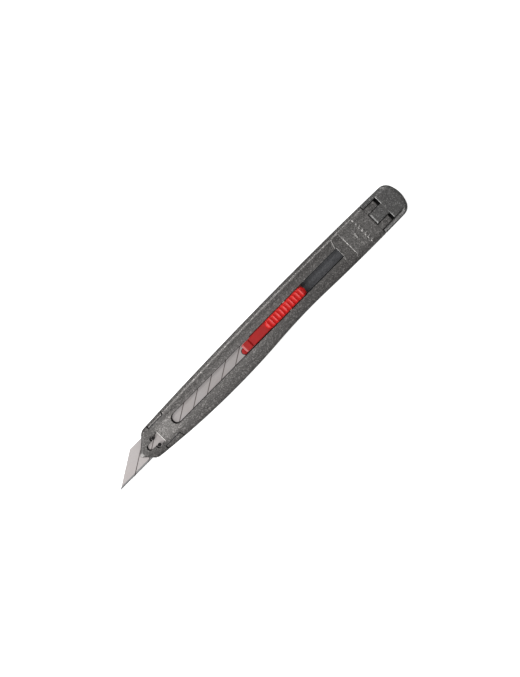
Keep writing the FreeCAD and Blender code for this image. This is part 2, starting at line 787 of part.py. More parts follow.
def make_end_cap():
    """The pull-off cap: rounded tail, a notch for each prong, and a slit for snapping blades."""
    body = new_body("end_cap")
    low_x = size("cap_x")
    top_z = size("cap_z")
    tail_x = size("tail_x")
    side_y = size("rump_y")
    radius = DIMENSIONS["tail_radius"]
    sagitta = Size.of(radius - math.sqrt(radius ** 2 - DIMENSIONS["rump_y"] ** 2))
    shoulder_x = tail_x - sagitta
    high_y = spine_y(shoulder_x - size("tail_corner"))
    pad_on_plan(body, ZERO, top_z, lambda sketch: draw_loop(sketch, [
        (low_x, rump_y(low_x)), (shoulder_x, side_y, size("tail_radius")),
        (shoulder_x, high_y), (low_x, spine_y(low_x))]))
    dress_edges(body, "Fillet", size("tail_corner"),
                lambda box: box.ZLength > 5 and box.XMin > low_x.value + 1)
    for height, amount in ((top_z, size("edge_round")), (ZERO, size("back_round"))):
        dress_edges(body, "Fillet", amount,
                    lambda box: at_height(box, height) and box.XMax > low_x.value + 1)

    cavity = size("tongue_width") / 2 + size("gap") * 2
    cut_along_x(body, low_x - 1, size("cavity_rear_x"), lambda sketch: draw_box(
        sketch, -cavity, cavity, size("tongue_low_z") - size("gap") * 2,
        size("tongue_top_z") + size("gap") * 2))
    for low_y, high_y in ((size("window_inner_y"), size("window_outer_y")),
                          (-size("window_outer_y"), -size("window_inner_y"))):
        cut_on_plan(body, size("tongue_top_z"), top_z, lambda sketch: draw_box(
            sketch, low_x - 1, size("cap_window_rear_x"), low_y, high_y))
    slit = size("snap_slit_width") / 2
    slit_z = size("snap_slit_low_z")
    cut_along_x(body, size("cavity_rear_x") - 1, tail_x + 1, lambda sketch: draw_box(
        sketch, -slit, slit, slit_z, slit_z + size("snap_slit_height")))
    return body


def main():
    pieces = [
        make_front_cover(),
        make_back_cover(),
        make_steady_pins(),
        make_blade_guide(),
        make_guide_rivet(),
        make_blade(),
        make_slider_carriage(),
        make_thumb_grip(),
        make_detent_spring(),
        make_tail_collar(),
        make_end_cap(),
    ]
    document.recompute()
    for item in document.Objects:
        if "Invalid" in item.State or "Error" in item.State:
            raise RuntimeError(f"{item.Name} did not recompute: {item.State}")
    os.makedirs("parts", exist_ok=True)
    for piece in pieces:
        if piece.Shape.isNull() or not piece.Shape.isValid():
            raise RuntimeError(f"{piece.Label} has no valid shape")
        piece.Shape.exportStep(f"parts/{piece.Label}.step")
        box = piece.Shape.BoundBox
        print(f"{piece.Label}: {len(piece.Shape.Solids)} solid, {piece.Shape.Volume:.1f} mm3, "
              f"x {box.XMin:.2f} {box.XMax:.2f} y {box.YMin:.2f} {box.YMax:.2f} "
              f"z {box.ZMin:.2f} {box.ZMax:.2f}")


main()
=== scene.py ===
"""The looks of the snap-off knife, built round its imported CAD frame.

Lengths here are millimetres in the frame's own axes until make_mesh() turns them into metres:
X from the blade's tip to the tail, Y towards the spine side, Z out of the thumb slider's face.
The lights and the camera's clipping distances are given in metres.
"""

import math

import bmesh
import bpy
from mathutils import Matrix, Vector


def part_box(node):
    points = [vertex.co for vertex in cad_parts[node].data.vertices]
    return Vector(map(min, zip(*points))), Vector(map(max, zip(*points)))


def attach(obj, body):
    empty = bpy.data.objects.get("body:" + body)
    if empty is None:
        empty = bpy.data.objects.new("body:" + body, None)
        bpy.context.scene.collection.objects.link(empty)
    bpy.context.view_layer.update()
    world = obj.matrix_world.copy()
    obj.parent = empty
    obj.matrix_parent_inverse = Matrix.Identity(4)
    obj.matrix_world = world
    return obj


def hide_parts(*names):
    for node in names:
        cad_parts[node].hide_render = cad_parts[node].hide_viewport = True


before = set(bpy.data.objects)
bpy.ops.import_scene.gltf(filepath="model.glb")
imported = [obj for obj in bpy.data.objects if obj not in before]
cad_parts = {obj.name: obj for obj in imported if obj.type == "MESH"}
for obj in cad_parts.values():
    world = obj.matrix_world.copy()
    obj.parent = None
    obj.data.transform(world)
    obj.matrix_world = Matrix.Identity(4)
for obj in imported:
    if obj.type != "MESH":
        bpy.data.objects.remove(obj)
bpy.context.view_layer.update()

MM = 0.001


def node_box(name):
    """A CAD node's lowest and highest corners, in millimetres."""
    low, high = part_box(name)
    return low / MM, high / MM


FRONT_LOW, _ = node_box("front_cover")
COLLAR_LOW, COLLAR_HIGH = node_box("tail_collar")
CAP_LOW, CAP_HIGH = node_box("end_cap")
BLADE_LOW, BLADE_HIGH = node_box("blade")
GUIDE_LOW, GUIDE_HIGH = node_box("blade_guide")
GRIP_LOW, GRIP_HIGH = node_box("thumb_grip")
PINS_LOW, PINS_HIGH = node_box("steady_pins")
CARRIAGE_LOW, CARRIAGE_HIGH = node_box("slider_carriage")
SPRING_LOW, SPRING_HIGH = node_box("detent_spring")

# ---- the handle's outline and the height of its face ----------------------------------------

AXIS_Y = (BLADE_LOW.y + BLADE_HIGH.y) / 2
NOSE_X = FRONT_LOW.x
NOSE_Y = -0.5
NOSE_TIP_RADIUS = 1.25
BROW_SLOPE = math.tan(math.radians(40.5))
CHIN_SLOPE = math.tan(math.radians(43.5))
TIP_HALF_WIDTH = 0.85
SPINE_CREST = (20.0, 8.31)
SPINE_RADIUS = 1950.0
BELLY = ((-19.0, -8.31), 350.0)
WAIST = ((24.0, -6.79), 258.0)
RUMP = ((62.0, -7.5), 759.0)
PARTING_Z = FRONT_LOW.z
FACE_Z = 9.0
COVER_REAR_X = COLLAR_LOW.x
CHANNEL_HALF = (GUIDE_HIGH.y - GUIDE_LOW.y) / 2 + 0.05
WALL = 1.4
SPIGOT_HALF = 6.2
SPIGOT_REAR_X = 60.0
SPIGOT_TOP_Z = 7.9
CHANNEL_REAR_X = 62.0
ARC_STEPS = 24

# Height of the face against the distance inwards from the outline, side by side.
FLAT_Z = 8.72
SPINE_PROFILE = [(0.0, 7.4), (0.35, 7.98), (0.7, 8.4), (0.98, 8.66), (1.25, 8.8), (1.7, 8.96), (1.9, 9.0),
                 (2.1, 8.98), (2.6, 8.9), (3.1, 8.81), (3.6, 8.75), (4.1, FLAT_Z), (30.0, FLAT_Z)]
BELLY_PROFILE = [(0.0, 7.0), (0.2, 7.6), (0.5, 8.05), (1.0, 8.33), (2.0, 8.47), (3.0, 8.6), (3.5, 8.67),
                 (3.9, 8.71), (4.3, FLAT_Z), (30.0, FLAT_Z)]
NOSE_PROFILE = [(0.0, 7.1), (0.25, 7.8), (0.55, 8.38), (0.85, 8.6), (1.4, 8.68), (3.5, 8.72), (8.0, 8.9),
                (60.0, 9.6)]
TIP_PROFILE = [(0.0, 7.95), (0.1, 8.13), (1.0, 8.5), (1.4, 8.66), (3.5, 8.72), (8.0, 8.9), (60.0, 9.6)]
COLLAR_PROFILE = [(0.0, 6.4), (0.25, 7.15), (0.7, 7.85), (1.3, 8.33), (2.2, 8.62), (3.2, FLAT_Z),
                  (30.0, FLAT_Z)]
CAP_PROFILE = [(0.0, 7.4), (0.15, 7.9), (0.35, 8.08), (1.15, 8.1), (1.35, 8.14), (1.6, 8.5), (1.78, 8.64),
               (2.0, 8.68), (3.2, 8.66), (30.0, 8.66)]
CAP_BELLY_PROFILE = [(0.0, 7.5), (0.15, 8.1), (0.35, 8.36), (0.55, 8.34), (1.5, 8.0), (1.75, 8.02),
                     (2.05, 8.5), (2.2, 8.64), (2.4, 8.68), (3.4, 8.66), (30.0, 8.66)]
CAP_END_PROFILE = [(0.0, 7.3), (0.15, 7.8), (0.4, 8.2), (0.8, 8.52), (1.3, 8.66), (30.0, 8.66)]
BACK_PROFILE = [(0.0, 2.3), (0.25, 1.5), (0.8, 0.8), (1.6, 0.28), (2.6, 0.0), (30.0, 0.0)]
NOSE_TILT_X = -44.0
NOSE_TILT_RUN = 20.0
NOSE_TILT_DROP = 0.4


def through_points(points, place):
    """A smooth curve through (place, height) points, without overshoot."""
    if place <= points[0][0]:
        return points[0][1]
    for index in range(len(points) - 1):
        (x0, y0), (x1, y1) = points[index], points[index + 1]
        if place > x1:
            continue
        rise = (y1 - y0) / (x1 - x0)
        before = rise
        if index > 0:
            before = (y0 - points[index - 1][1]) / (x0 - points[index - 1][0])
        after = rise
        if index + 2 < len(points):
            after = (points[index + 2][1] - y1) / (points[index + 2][0] - x1)
        start = shared_slope(before, rise)
        end = shared_slope(rise, after)
        t = (place - x0) / (x1 - x0)
        run = x1 - x0
        return ((2 * t ** 3 - 3 * t ** 2 + 1) * y0 + (t ** 3 - 2 * t ** 2 + t) * run * start
                + (3 * t ** 2 - 2 * t ** 3) * y1 + (t ** 3 - t ** 2) * run * end)
    return points[-1][1]


def shared_slope(left, right):
    """The slope at a point between two stretches: their harmonic mean, or flat at a crest."""
    if left * right <= 0:
        return 0.0
    return 2 * left * right / (left + right)


def eased(share):
    """A share kept between zero and one, with smooth ends."""
    share = min(max(share, 0.0), 1.0)
    return share * share * (3 - 2 * share)


def soft_min(first, second, blend):
    """The smaller of two lengths, rounded where they cross."""
    closeness = max(blend - abs(first - second), 0.0) / blend
    return min(first, second) - closeness ** 2 * blend / 4


def shallow_arc(x, crest, radius):
    return crest[1] - (x - crest[0]) ** 2 / (2 * radius)


def spine_line(x):
    return shallow_arc(x, SPINE_CREST, SPINE_RADIUS)


def belly_line(x):
    """The lower outline: belly, waist and rump arcs, each meeting the next in one tangent."""
    arcs = [(*BELLY, -1), (*WAIST, 1), (*RUMP, -1)]
    for (crest, radius, bend), (next_crest, next_radius, _) in zip(arcs, arcs[1:]):
        meeting_x = crest[0] + (next_crest[0] - crest[0]) * radius / (radius + next_radius)
        if x < meeting_x:
            return shallow_arc(x, crest, bend * radius)
    crest, radius, bend = arcs[-1]
    return shallow_arc(x, crest, bend * radius)


def tip_circle(x):
    """Half the width that the rounded nose tip allows at x."""
    depth = x - NOSE_X
    if depth >= NOSE_TIP_RADIUS:
        return 100.0
    return math.sqrt(max(NOSE_TIP_RADIUS ** 2 - (NOSE_TIP_RADIUS - depth) ** 2, 1e-4))


def brow_line(x):
    return NOSE_Y + TIP_HALF_WIDTH + (x - NOSE_X) * BROW_SLOPE


def chin_line(x):
    return NOSE_Y - TIP_HALF_WIDTH - (x - NOSE_X) * CHIN_SLOPE


def upper_edge(x):
    edge = soft_min(spine_line(x), brow_line(x), 1.2)
    return soft_min(edge, NOSE_Y + tip_circle(x), 0.3)


def lower_edge(x):
    edge = -soft_min(-belly_line(x), -chin_line(x), 1.2)
    return -soft_min(-edge, -NOSE_Y + tip_circle(x), 0.3)


def face_height(x, y, belly_profile=BELLY_PROFILE):
    """The height of the handle's face at one place, from the profiles of its sides and its nose."""
    if y > AXIS_Y:
        height = through_points(SPINE_PROFILE, spine_line(x) - y)
    else:
        height = through_points(belly_profile, y - belly_line(x))
    for place in ((brow_line(x) - y) / math.hypot(1, BROW_SLOPE),
                  (y - chin_line(x)) / math.hypot(1, CHIN_SLOPE)):
        height = soft_min(height, through_points(NOSE_PROFILE, place), 0.1)
    height = soft_min(height, through_points(TIP_PROFILE, x - NOSE_X), 0.1)
    tilt = max(NOSE_TILT_X - x, 0.0) / NOSE_TILT_RUN
    return height - NOSE_TILT_DROP * tilt * tilt


def back_height(x, y):
    """The height of the handle's back at one place on the plan."""
    places = [spine_line(x) - y, y - belly_line(x), x - NOSE_X,
              (brow_line(x) - y) / math.hypot(1, BROW_SLOPE),
              (y - chin_line(x)) / math.hypot(1, CHIN_SLOPE)]
    return max(through_points(BACK_PROFILE, place) for place in places)


# ---- mesh helpers ----------------------------------------------------------------------------

SMOOTH_ANGLE = math.radians(17)


def make_mesh(name, points, faces, materials=(), material_of=None):
    """A mesh object from points in millimetres, with its faces turned outwards."""
    mesh = bpy.data.meshes.new(name)
    mesh.from_pydata([Vector(point) * MM for point in points], [], faces)
    for material in materials:
        mesh.materials.append(material)
    if material_of:
        mesh.polygons.foreach_set("material_index", material_of)
    work = bmesh.new()
    work.from_mesh(mesh)
    bmesh.ops.recalc_face_normals(work, faces=work.faces)
    work.to_mesh(mesh)
    work.free()
    piece = bpy.data.objects.new(name, mesh)
    bpy.context.scene.collection.objects.link(piece)
    return piece


def loft(name, sections, *materials):
    """A closed solid through sections that all have the same number of points.

    The first material is on the last stretch and the ends; a second one is on the stretches before it.
    """
    count = len(sections[0])
    points = [point for section in sections for point in section]
    faces = [tuple(range(count)), tuple(range(len(points) - count, len(points)))]
    material_of = [0, 0]
    for ring in range(len(sections) - 1):
        first = ring * count
        for index in range(count):
            following = (index + 1) % count
            faces.append((first + index, first + following,
                          first + count + following, first + count + index))
            material_of.append(0 if ring == len(sections) - 2 else len(materials) - 1)
    return make_mesh(name, points, faces, materials, material_of if len(materials) > 1 else None)


def box_piece(name, low, high, material):
    """A plain box, for cutting and joining."""
    corners = [(low[0], low[1]), (high[0], low[1]), (high[0], high[1]), (low[0], high[1])]
    return loft(name, [[(x, y, z) for x, y in corners] for z in (low[2], high[2])], material)


def join_solid(piece, tool, operation):
    """Cut the tool from the piece, or unite the two, and drop the tool."""
    modifier = piece.modifiers.new("join", "BOOLEAN")
    modifier.object = tool
    modifier.operation = operation
    modifier.solver = "EXACT"
    modifier.material_mode = "TRANSFER"
    evaluated = piece.evaluated_get(bpy.context.evaluated_depsgraph_get())
    mesh = bpy.data.meshes.new_from_object(evaluated)
    piece.modifiers.clear()
    piece.data = mesh
    bpy.data.objects.remove(tool)


def cut(piece, *tools):
    for tool in tools:
        join_solid(piece, tool, "DIFFERENCE")


def unite(piece, *tools):
    for tool in tools:
        join_solid(piece, tool, "UNION")


def finish_piece(piece, body, nodes, angle=SMOOTH_ANGLE):
    """Smooth shading, the body it rides on, and the CAD nodes it stands for."""
    mesh = piece.data
    work = bmesh.new()
    work.from_mesh(mesh)
    bmesh.ops.remove_doubles(work, verts=work.verts, dist=1e-6)
    bmesh.ops.dissolve_degenerate(work, edges=work.edges, dist=1e-6)
    bmesh.ops.recalc_face_normals(work, faces=work.faces)
    work.to_mesh(mesh)
    work.free()
    mesh.polygons.foreach_set("use_smooth", [True] * len(mesh.polygons))
    mesh.set_sharp_from_angle(angle=angle)
    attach(piece, body)
    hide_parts(*nodes)


def steps(start, end, spacing):
    """Evenly spaced places from start to end, both included, at most spacing apart."""
    count = max(1, math.ceil((end - start) / spacing))
    return [start + (end - start) * index / count for index in range(count + 1)]


def stations(*spans):
    """Places along X through several spans of (start, end, spacing), with no place twice."""
    places = []
    for start, end, spacing in spans:
        places += [x for x in steps(start, end, spacing) if not places or x > places[-1] + 1e-6]
    return places


LIP_SLOPE = 2.0
LIP_DEPTH = 0.15


def flared(name, outline, low_z, surface_z, draft, skin, wall, lip=LIP_DEPTH, lean=(0.0, 0.0)):
    """A cutter whose walls draw in downwards by draft, and whose mouth has a shallow lip.

    A lean moves its low end along X and Y, and the walls that it leaves behind show more.
    """
    reach = 1.0
    lip_z = surface_z - lip
    return loft(name, [
        [(x + lean[0], y + lean[1], low_z) for x, y in outline(-draft)],
        [(x, y, lip_z) for x, y in outline(0.0)],
        [(x, y, lip_z + reach) for x, y in outline(LIP_SLOPE * reach)],
    ], skin, wall)


# ---- covers ----------------------------------------------------------------------------------

EDGE_STEPS = [0.0, 0.12, 0.3, 0.55, 0.8, 1.0, 1.2, 1.38, 1.55, 1.7, 1.82, 1.95, 2.15, 2.4, 2.8, 3.2,
              3.6, 4.0, 4.4]
CENTRE_STEPS = 10
SEAM = 0.12


def across(x):
    """The places across the handle at x, from the lower edge to the upper, closer at the edges."""
    low = lower_edge(x)
    high = upper_edge(x)
    reach = (high - low) / 2
    squeeze = min(1.0, reach / (EDGE_STEPS[-1] + 1.0))
    left = [low + step * squeeze for step in EDGE_STEPS]
    right = [high - step * squeeze for step in reversed(EDGE_STEPS)]
    centre = steps(left[-1], right[0], (right[0] - left[-1]) / CENTRE_STEPS)[1:-1]
    return left + centre + right


def cover_section(x, height, seam_z, seam_turn):
    """A closed section of a cover: its outer skin, and a straight line along the parting plane."""
    places = across(x)
    skin = [(x, y, height(x, y)) for y in places]
    seam_low = [(x, places[0] + SEAM, seam_z), (x, places[0], seam_z + seam_turn * SEAM)]
    seam_high = [(x, places[-1], seam_z + seam_turn * SEAM), (x, places[-1] - SEAM, seam_z)]
    return seam_low + skin + seam_high


LEDGE_X = 46.9
LEDGE_RADIUS = 15.0
LEDGE_RISE = 0.2
LEDGE_SLOPE = 0.6
LEDGE_HALF = 8.5


def ledge_height(x, y):
    """The face, with the low step up behind an arc that crosses the slot's rear end."""
    arc_x = LEDGE_X + LEDGE_RADIUS - math.sqrt(LEDGE_RADIUS ** 2 - min(abs(y), LEDGE_HALF) ** 2)
    return face_height(x, y) + LEDGE_RISE * eased((x - arc_x) / LEDGE_SLOPE)


CLIP_FRONT_X = -56.4
CLIP_REAR_X = -48.3
CLIP_INNER = 4.75
CLIP_OUTER = 8.0
CLIP_LEAN = 0.9
CLIP_GAPS = (0.5, 0.25, 0.4)


def leant_x(x, y, side):
    """X, moved back the further out it is, and more so near the clip's rear end."""
    along = (x - CLIP_FRONT_X) / (CLIP_REAR_X - CLIP_FRONT_X)
    out = (side * (y - AXIS_Y) - CLIP_INNER) / (CLIP_OUTER - CLIP_INNER)
    return x + CLIP_LEAN * along * max(out, 0.0)


def clip_notch(side, skin, wall):
    """The cutter for one clip's notch. Its rear wall leans back towards the outside."""
    inner = AXIS_Y + side * CLIP_INNER
    outer = side * (CLIP_OUTER + 1.5)
    plan = [(leant_x(x, y, side), y) for x, y in
            ((CLIP_FRONT_X, inner), (CLIP_FRONT_X, outer), (CLIP_REAR_X, outer), (CLIP_REAR_X, inner))]
    return loft("clip_notch", [[(x, y, z) for x, y in plan] for z in (PARTING_Z - 1, FLAT_Z, FACE_Z + 1)],
                skin, wall)


def window_outline(grow):
    """The nose window: a round-ended neck that opens into a wider rear part behind the pins."""
    front_x = -62.5
    neck_x = -58.0
    wide_x = -57.1
    rear_x = -55.1
    neck = 1.3
    height = 2.35
    arc_steps = 12
    outline = [(wide_x, NOSE_Y - height - grow), (rear_x + grow, NOSE_Y - height - grow),
               (rear_x + grow, NOSE_Y + height + grow), (wide_x, NOSE_Y + height + grow),
               (neck_x, NOSE_Y + neck + grow)]
    for index in range(arc_steps + 1):
        angle = math.pi / 2 + math.pi * index / arc_steps
        outline.append((front_x + neck + (neck + grow) * math.cos(angle),
                        NOSE_Y + (neck + grow) * math.sin(angle)))
    return outline + [(neck_x, NOSE_Y - neck - grow)]


PIN_X = (PINS_LOW.x + PINS_HIGH.x) / 2
PIN_RADIUS = (PINS_HIGH.x - PINS_LOW.x) / 2
PIN_SEAT_GAP = 0.36
PIN_PLACES = (PINS_LOW.y + PIN_RADIUS, PINS_HIGH.y - PIN_RADIUS)


def pin_outline(y, forward=0.0):
    """The round seat of one steady pin in the window's corner, which may be drawn out forwards."""
    radius = PIN_RADIUS + PIN_SEAT_GAP

    def outline(grow):
        points = []
        for index in range(ARC_STEPS):
            turn = math.tau * index / ARC_STEPS
            shift = forward if math.cos(turn) < 0 else 0.0
            points.append((PIN_X - shift + (radius + grow) * math.cos(turn),
                           y + (radius + grow) * math.sin(turn)))
        return points

    return outline


SLOT_FRONT_X = -47.7
SLOT_REAR_X = 47.9
SLOT_HALF = 2.38
WALL_DRAFT = 0.36
SLOT_LIP = 0.06
WINDOW_LIP = 0.1
WALL_LEAN = (0.6, 0.14)
WINDOW_DRAFT = 0.04
WINDOW_LEAN = (0.75, 0.0)
WINDOW_Z = face_height(-58.5, NOSE_Y)
SEAT_DRAFT = 0.05
SEAT_LIP = 0.02
UNDER_FACE_Z = FACE_Z - WALL - 0.3


def slot_outline(grow):
    """The long slot: a round front end and a square rear one, anticlockwise, grown by grow."""
    arc_steps = 18
    centre_x = SLOT_FRONT_X + SLOT_HALF
    outline = [(SLOT_REAR_X + grow, AXIS_Y - SLOT_HALF - grow),
               (SLOT_REAR_X + grow, AXIS_Y + SLOT_HALF + grow)]
    for index in range(arc_steps + 1):
        angle = math.pi / 2 + math.pi * index / arc_steps
        outline.append((centre_x + (SLOT_HALF + grow) * math.cos(angle),
                        AXIS_Y + (SLOT_HALF + grow) * math.sin(angle)))
    return outline


def window_cutter(skin, wall):
    """The nose window, joined with the seats that go right down round the two pins."""
    window = flared("window", window_outline, UNDER_FACE_Z, WINDOW_Z, WINDOW_DRAFT, skin, wall,
                    WINDOW_LIP, WINDOW_LEAN)
    for pin_y in PIN_PLACES:
        unite(window, flared("pin_seat", pin_outline(pin_y), UNDER_FACE_Z - 0.2, WINDOW_Z + SEAT_LIP,
                             SEAT_DRAFT, skin, wall, SEAT_LIP))
    return window


def pin_shade_pocket(pin_y, wall):
    """A shallow pocket round one pin, drawn out towards the nose, all in the black wall material: painted
    shade.
    """
    return flared("pin_shade_pocket", pin_outline(pin_y, forward=0.5), WINDOW_Z - 0.6, WINDOW_Z + SEAT_LIP,
                  SEAT_DRAFT, wall, wall, SEAT_LIP)


def make_front_cover(skin, wall):
    places = stations((NOSE_X + 0.01, NOSE_X + 0.5, 0.06), (NOSE_X + 0.5, -56.0, 0.22),
                      (-56.0, 46.0, 0.75), (46.0, 51.0, 0.1), (51.0, COVER_REAR_X - 0.05, 0.5))
    cover = loft("front_shell", [cover_section(x, ledge_height, PARTING_Z, 1) for x in places], skin)
    unite(cover, box_piece("spigot", (COVER_REAR_X - 1, -SPIGOT_HALF, PARTING_Z),
                           (SPIGOT_REAR_X, SPIGOT_HALF, SPIGOT_TOP_Z), skin))
    cut(cover, box_piece("channel", (NOSE_X - 2, AXIS_Y - CHANNEL_HALF, PARTING_Z - 1),
                         (CHANNEL_REAR_X, AXIS_Y + CHANNEL_HALF, FACE_Z - WALL), wall))
    # The walls cut below take the black wall material: painted shade along the edges of the slot, the
    # window, the pin pockets and the clip notches.
    cut(cover, flared("slot", slot_outline, UNDER_FACE_Z, FLAT_Z + LEDGE_RISE, WALL_DRAFT, skin, wall,
                      SLOT_LIP, WALL_LEAN))
    cut(cover, window_cutter(skin, wall))
    for pin_y in PIN_PLACES:
        cut(cover, pin_shade_pocket(pin_y, wall))
    cut(cover, clip_notch(1, skin, wall), clip_notch(-1, skin, wall), rivet_dimple(skin))
    finish_piece(cover, "handle", ["front_cover"])
    return cover


def round_solid(name, centre, radius, rings, count, material):
    """A round solid on an upright axis, through (share of the radius, height) rings."""
    turns = [math.tau * index / count for index in range(count)]
    return loft(name, [[(centre[0] + radius * share * math.cos(turn),
                         centre[1] + radius * share * math.sin(turn), z) for turn in turns]
                       for share, z in rings], material)


def rivet_dimple(skin):
    """The shallow round dimple in the ledge, over the guide's rivet."""
    top_z = FLAT_Z + LEDGE_RISE
    depth = 0.16
    rings = [(0.45, top_z - depth), (0.85, top_z - depth * 0.75), (1.0, top_z), (1.6, top_z + 0.4)]
    return round_solid("dimple", (48.95, AXIS_Y - 0.3), 0.85, rings, ARC_STEPS, skin)


def clip_piece(side, skin):
    """One snap clip of the back cover: it follows the covers' skin, a little inside it."""
    front_gap, inner_gap, rear_gap = CLIP_GAPS
    front_x = CLIP_FRONT_X + front_gap
    rear_x = CLIP_REAR_X - rear_gap
    inner = AXIS_Y + side * (CLIP_INNER + inner_gap)
    low_z = PARTING_Z - 1.1
    bevel = 0.1
    skin_steps = 12
    sections = []
    for x in steps(front_x, rear_x, 0.4):
        edge = upper_edge(x) if side > 0 else lower_edge(x)
        at_end = min(x - front_x, rear_x - x) < 0.01
        drop = 0.04 + (bevel if at_end else 0.0)
        places = [inner, inner + side * 0.12]
        places += [places[-1] + (edge - places[-1]) * index / skin_steps
                   for index in range(1, skin_steps + 1)]
        tops = [face_height(x, y) - drop for y in places]
        tops[0] -= bevel
        section = [(inner, low_z), *zip(places, tops), (edge, low_z)]
        sections.append([(leant_x(x, y, side), y, z) for y, z in section])
    return loft("clip", sections, skin)


def make_back_cover(skin, wall):
    places = stations((NOSE_X + 0.01, NOSE_X + 0.5, 0.06), (NOSE_X + 0.5, -56.0, 0.3),
                      (-56.0, COVER_REAR_X - 0.05, 1.0))
    cover = loft("back_shell", [cover_section(x, back_height, PARTING_Z, -1) for x in places], skin)
    low_y = AXIS_Y - CHANNEL_HALF
    high_y = AXIS_Y + CHANNEL_HALF
    guide_x = GUIDE_LOW.x
    unite(cover, box_piece("spigot", (COVER_REAR_X - 1, -SPIGOT_HALF, WALL),
                           (SPIGOT_REAR_X, SPIGOT_HALF, PARTING_Z), skin))
    cut(cover, box_piece("pocket", (guide_x, low_y, WALL * 2),
                         (CHANNEL_REAR_X, high_y, PARTING_Z + 1), wall))
    rib_count = 7
    rib_pitch = 16.0
    for index in range(rib_count):
        rib_x = guide_x + WALL + rib_pitch * index
        unite(cover, box_piece("rib", (rib_x, low_y + 0.1, WALL),
                               (rib_x + WALL, high_y - 0.1, GUIDE_LOW.z), wall))
    unite(cover, nose_block(wall), clip_piece(1, skin), clip_piece(-1, skin))
    finish_piece(cover, "handle", ["back_cover"])
    return cover


def nose_block(wall):
    """The nose under the blade: it fills the channel from the tip to the guide."""
    sections = []
    top_z = BLADE_LOW.z - 0.15
    for x in stations((NOSE_X + 0.35, -60.0, 0.3), (-60.0, GUIDE_LOW.x - 0.15, 0.6)):
        low = max(lower_edge(x) + 0.3, AXIS_Y - CHANNEL_HALF + 0.1)
        high = min(upper_edge(x) - 0.3, AXIS_Y + CHANNEL_HALF - 0.1)
        sections.append([(x, low, WALL), (x, high, WALL), (x, high, top_z), (x, low, top_z)])
    return loft("nose_block", sections, wall)


# ---- tail ------------------------------------------------------------------------------------

COLLAR_RISE = 0.42
COLLAR_FRONT_X = COVER_REAR_X - 0.15
COLLAR_REAR_X = CAP_LOW.x - 0.35
COLLAR_STEP = 0.65
COLLAR_STEP_Y = 5.3
CORNER_RADIUS = 4.4
END_RADIUS = 13.0
PRONG_INNER = 2.84
PRONG_OUTER = 5.39
PRONG_FLAT_X = 68.7
PRONG_END_X = 71.9
PRONG_GAP = 0.32
NOTCH_REAR_X = 73.2
TONGUE_HALF = 5.6
TONGUE_LOW_Z = 2.0
TONGUE_TOP_Z = 7.1
TONGUE_REAR_X = COLLAR_HIGH.x


def collar_height(x, y):
    return face_height(x, y, belly_profile=COLLAR_PROFILE) + COLLAR_RISE


def tube_section(x, drop, inset):
    """A closed section of the collar, its face lowered by drop and its sides drawn in by inset."""
    places = across(x)
    shrink = 1 - inset / ((places[-1] - places[0]) / 2)
    middle = (places[0] + places[-1]) / 2
    top = [(x, middle + (y - middle) * shrink, min(collar_height(x, y), COLLAR_HIGH.z) - drop)
           for y in places]
    bottom = [(x, middle + (y - middle) * shrink, back_height(x, y) + inset) for y in reversed(places)]
    return top + bottom


def front_step(y):
    """How far the collar's front edge reaches forward at its two sides."""
    return COLLAR_STEP * eased((abs(y - AXIS_Y) - COLLAR_STEP_Y) / 0.5)


def make_tail_collar(skin, wall):
    bevel_x = COLLAR_FRONT_X + 0.3
    places = [(COLLAR_FRONT_X, 0.11, 0.08), (bevel_x, 0.0, 0.0)]
    places += [(x, 0.0, 0.0) for x in steps(bevel_x, COLLAR_REAR_X - 0.3, 1.0)[1:]]
    places += [(COLLAR_REAR_X, 0.12, 0.06)]
    sections = [tube_section(x, drop, inset) for x, drop, inset in places]
    for index in (0, 1):
        sections[index] = [(x - front_step(y), y, z) for x, y, z in sections[index]]
    collar = loft("collar", sections, skin)
    cut(collar, box_piece("socket", (COVER_REAR_X - 1, -SPIGOT_HALF - 0.15, WALL - 0.05),
                          (SPIGOT_REAR_X + 0.2, SPIGOT_HALF + 0.15, SPIGOT_TOP_Z + 0.05), wall))
    tongue = box_piece("tongue", (COLLAR_REAR_X - 1, -TONGUE_HALF, TONGUE_LOW_Z),
                       (TONGUE_REAR_X, TONGUE_HALF, TONGUE_TOP_Z), wall)
    unite(collar, tongue, prong(1, skin), prong(-1, skin))
    unite(collar, *maker_marks(skin))
    finish_piece(collar, "handle", ["tail_collar"])
    return collar


def prong(side, skin):
    """One prong that fills a notch of the cap: flush, then a step and a slope down into it."""
    foot_x = COLLAR_REAR_X - 1
    top_z = CAP_HIGH.z - 0.2
    low_z = TONGUE_TOP_Z - 1
    profile = [(foot_x, low_z), (PRONG_END_X, low_z), (PRONG_END_X, 8.25), (PRONG_END_X - 0.35, 8.5),
               (PRONG_FLAT_X + 0.45, 8.66), (PRONG_FLAT_X + 0.1, top_z - 0.12), (PRONG_FLAT_X - 0.2, top_z),
               (foot_x, top_z)]
    ends = [side * PRONG_INNER, side * PRONG_OUTER]
    return loft("prong", [[(x, y, z) for x, z in profile] for y in ends], skin)


def maker_marks(skin):
    """A plain raised pattern on the collar: a short dash, and a row of small pads behind it."""
    row_x = 60.6
    pitch = 1.8
    pad_count = 7
    marks = [raised_pad(57.3, 0.35, 0.55, 1.1, skin)]
    for index in range(pad_count):
        marks.append(raised_pad(row_x, pitch * (index - pad_count // 2), 0.7, 0.55, skin))
    return marks


def raised_pad(x, y, half_length, half_width, skin):
    """A low pad with bevelled edges, sunk into the collar's face."""
    base_z = min(collar_height(x, y), COLLAR_HIGH.z)
    bevel = 0.38
    rise = 0.15
    sections = []
    for inset, z in ((0.0, base_z - 0.2), (0.0, base_z), (bevel, base_z + rise)):
        long = half_length - inset
        wide = half_width - inset
        sections.append([(x - long, y - wide, z), (x + long, y - wide, z),
                         (x + long, y + wide, z), (x - long, y + wide, z)])
    return loft("mark", sections, skin)


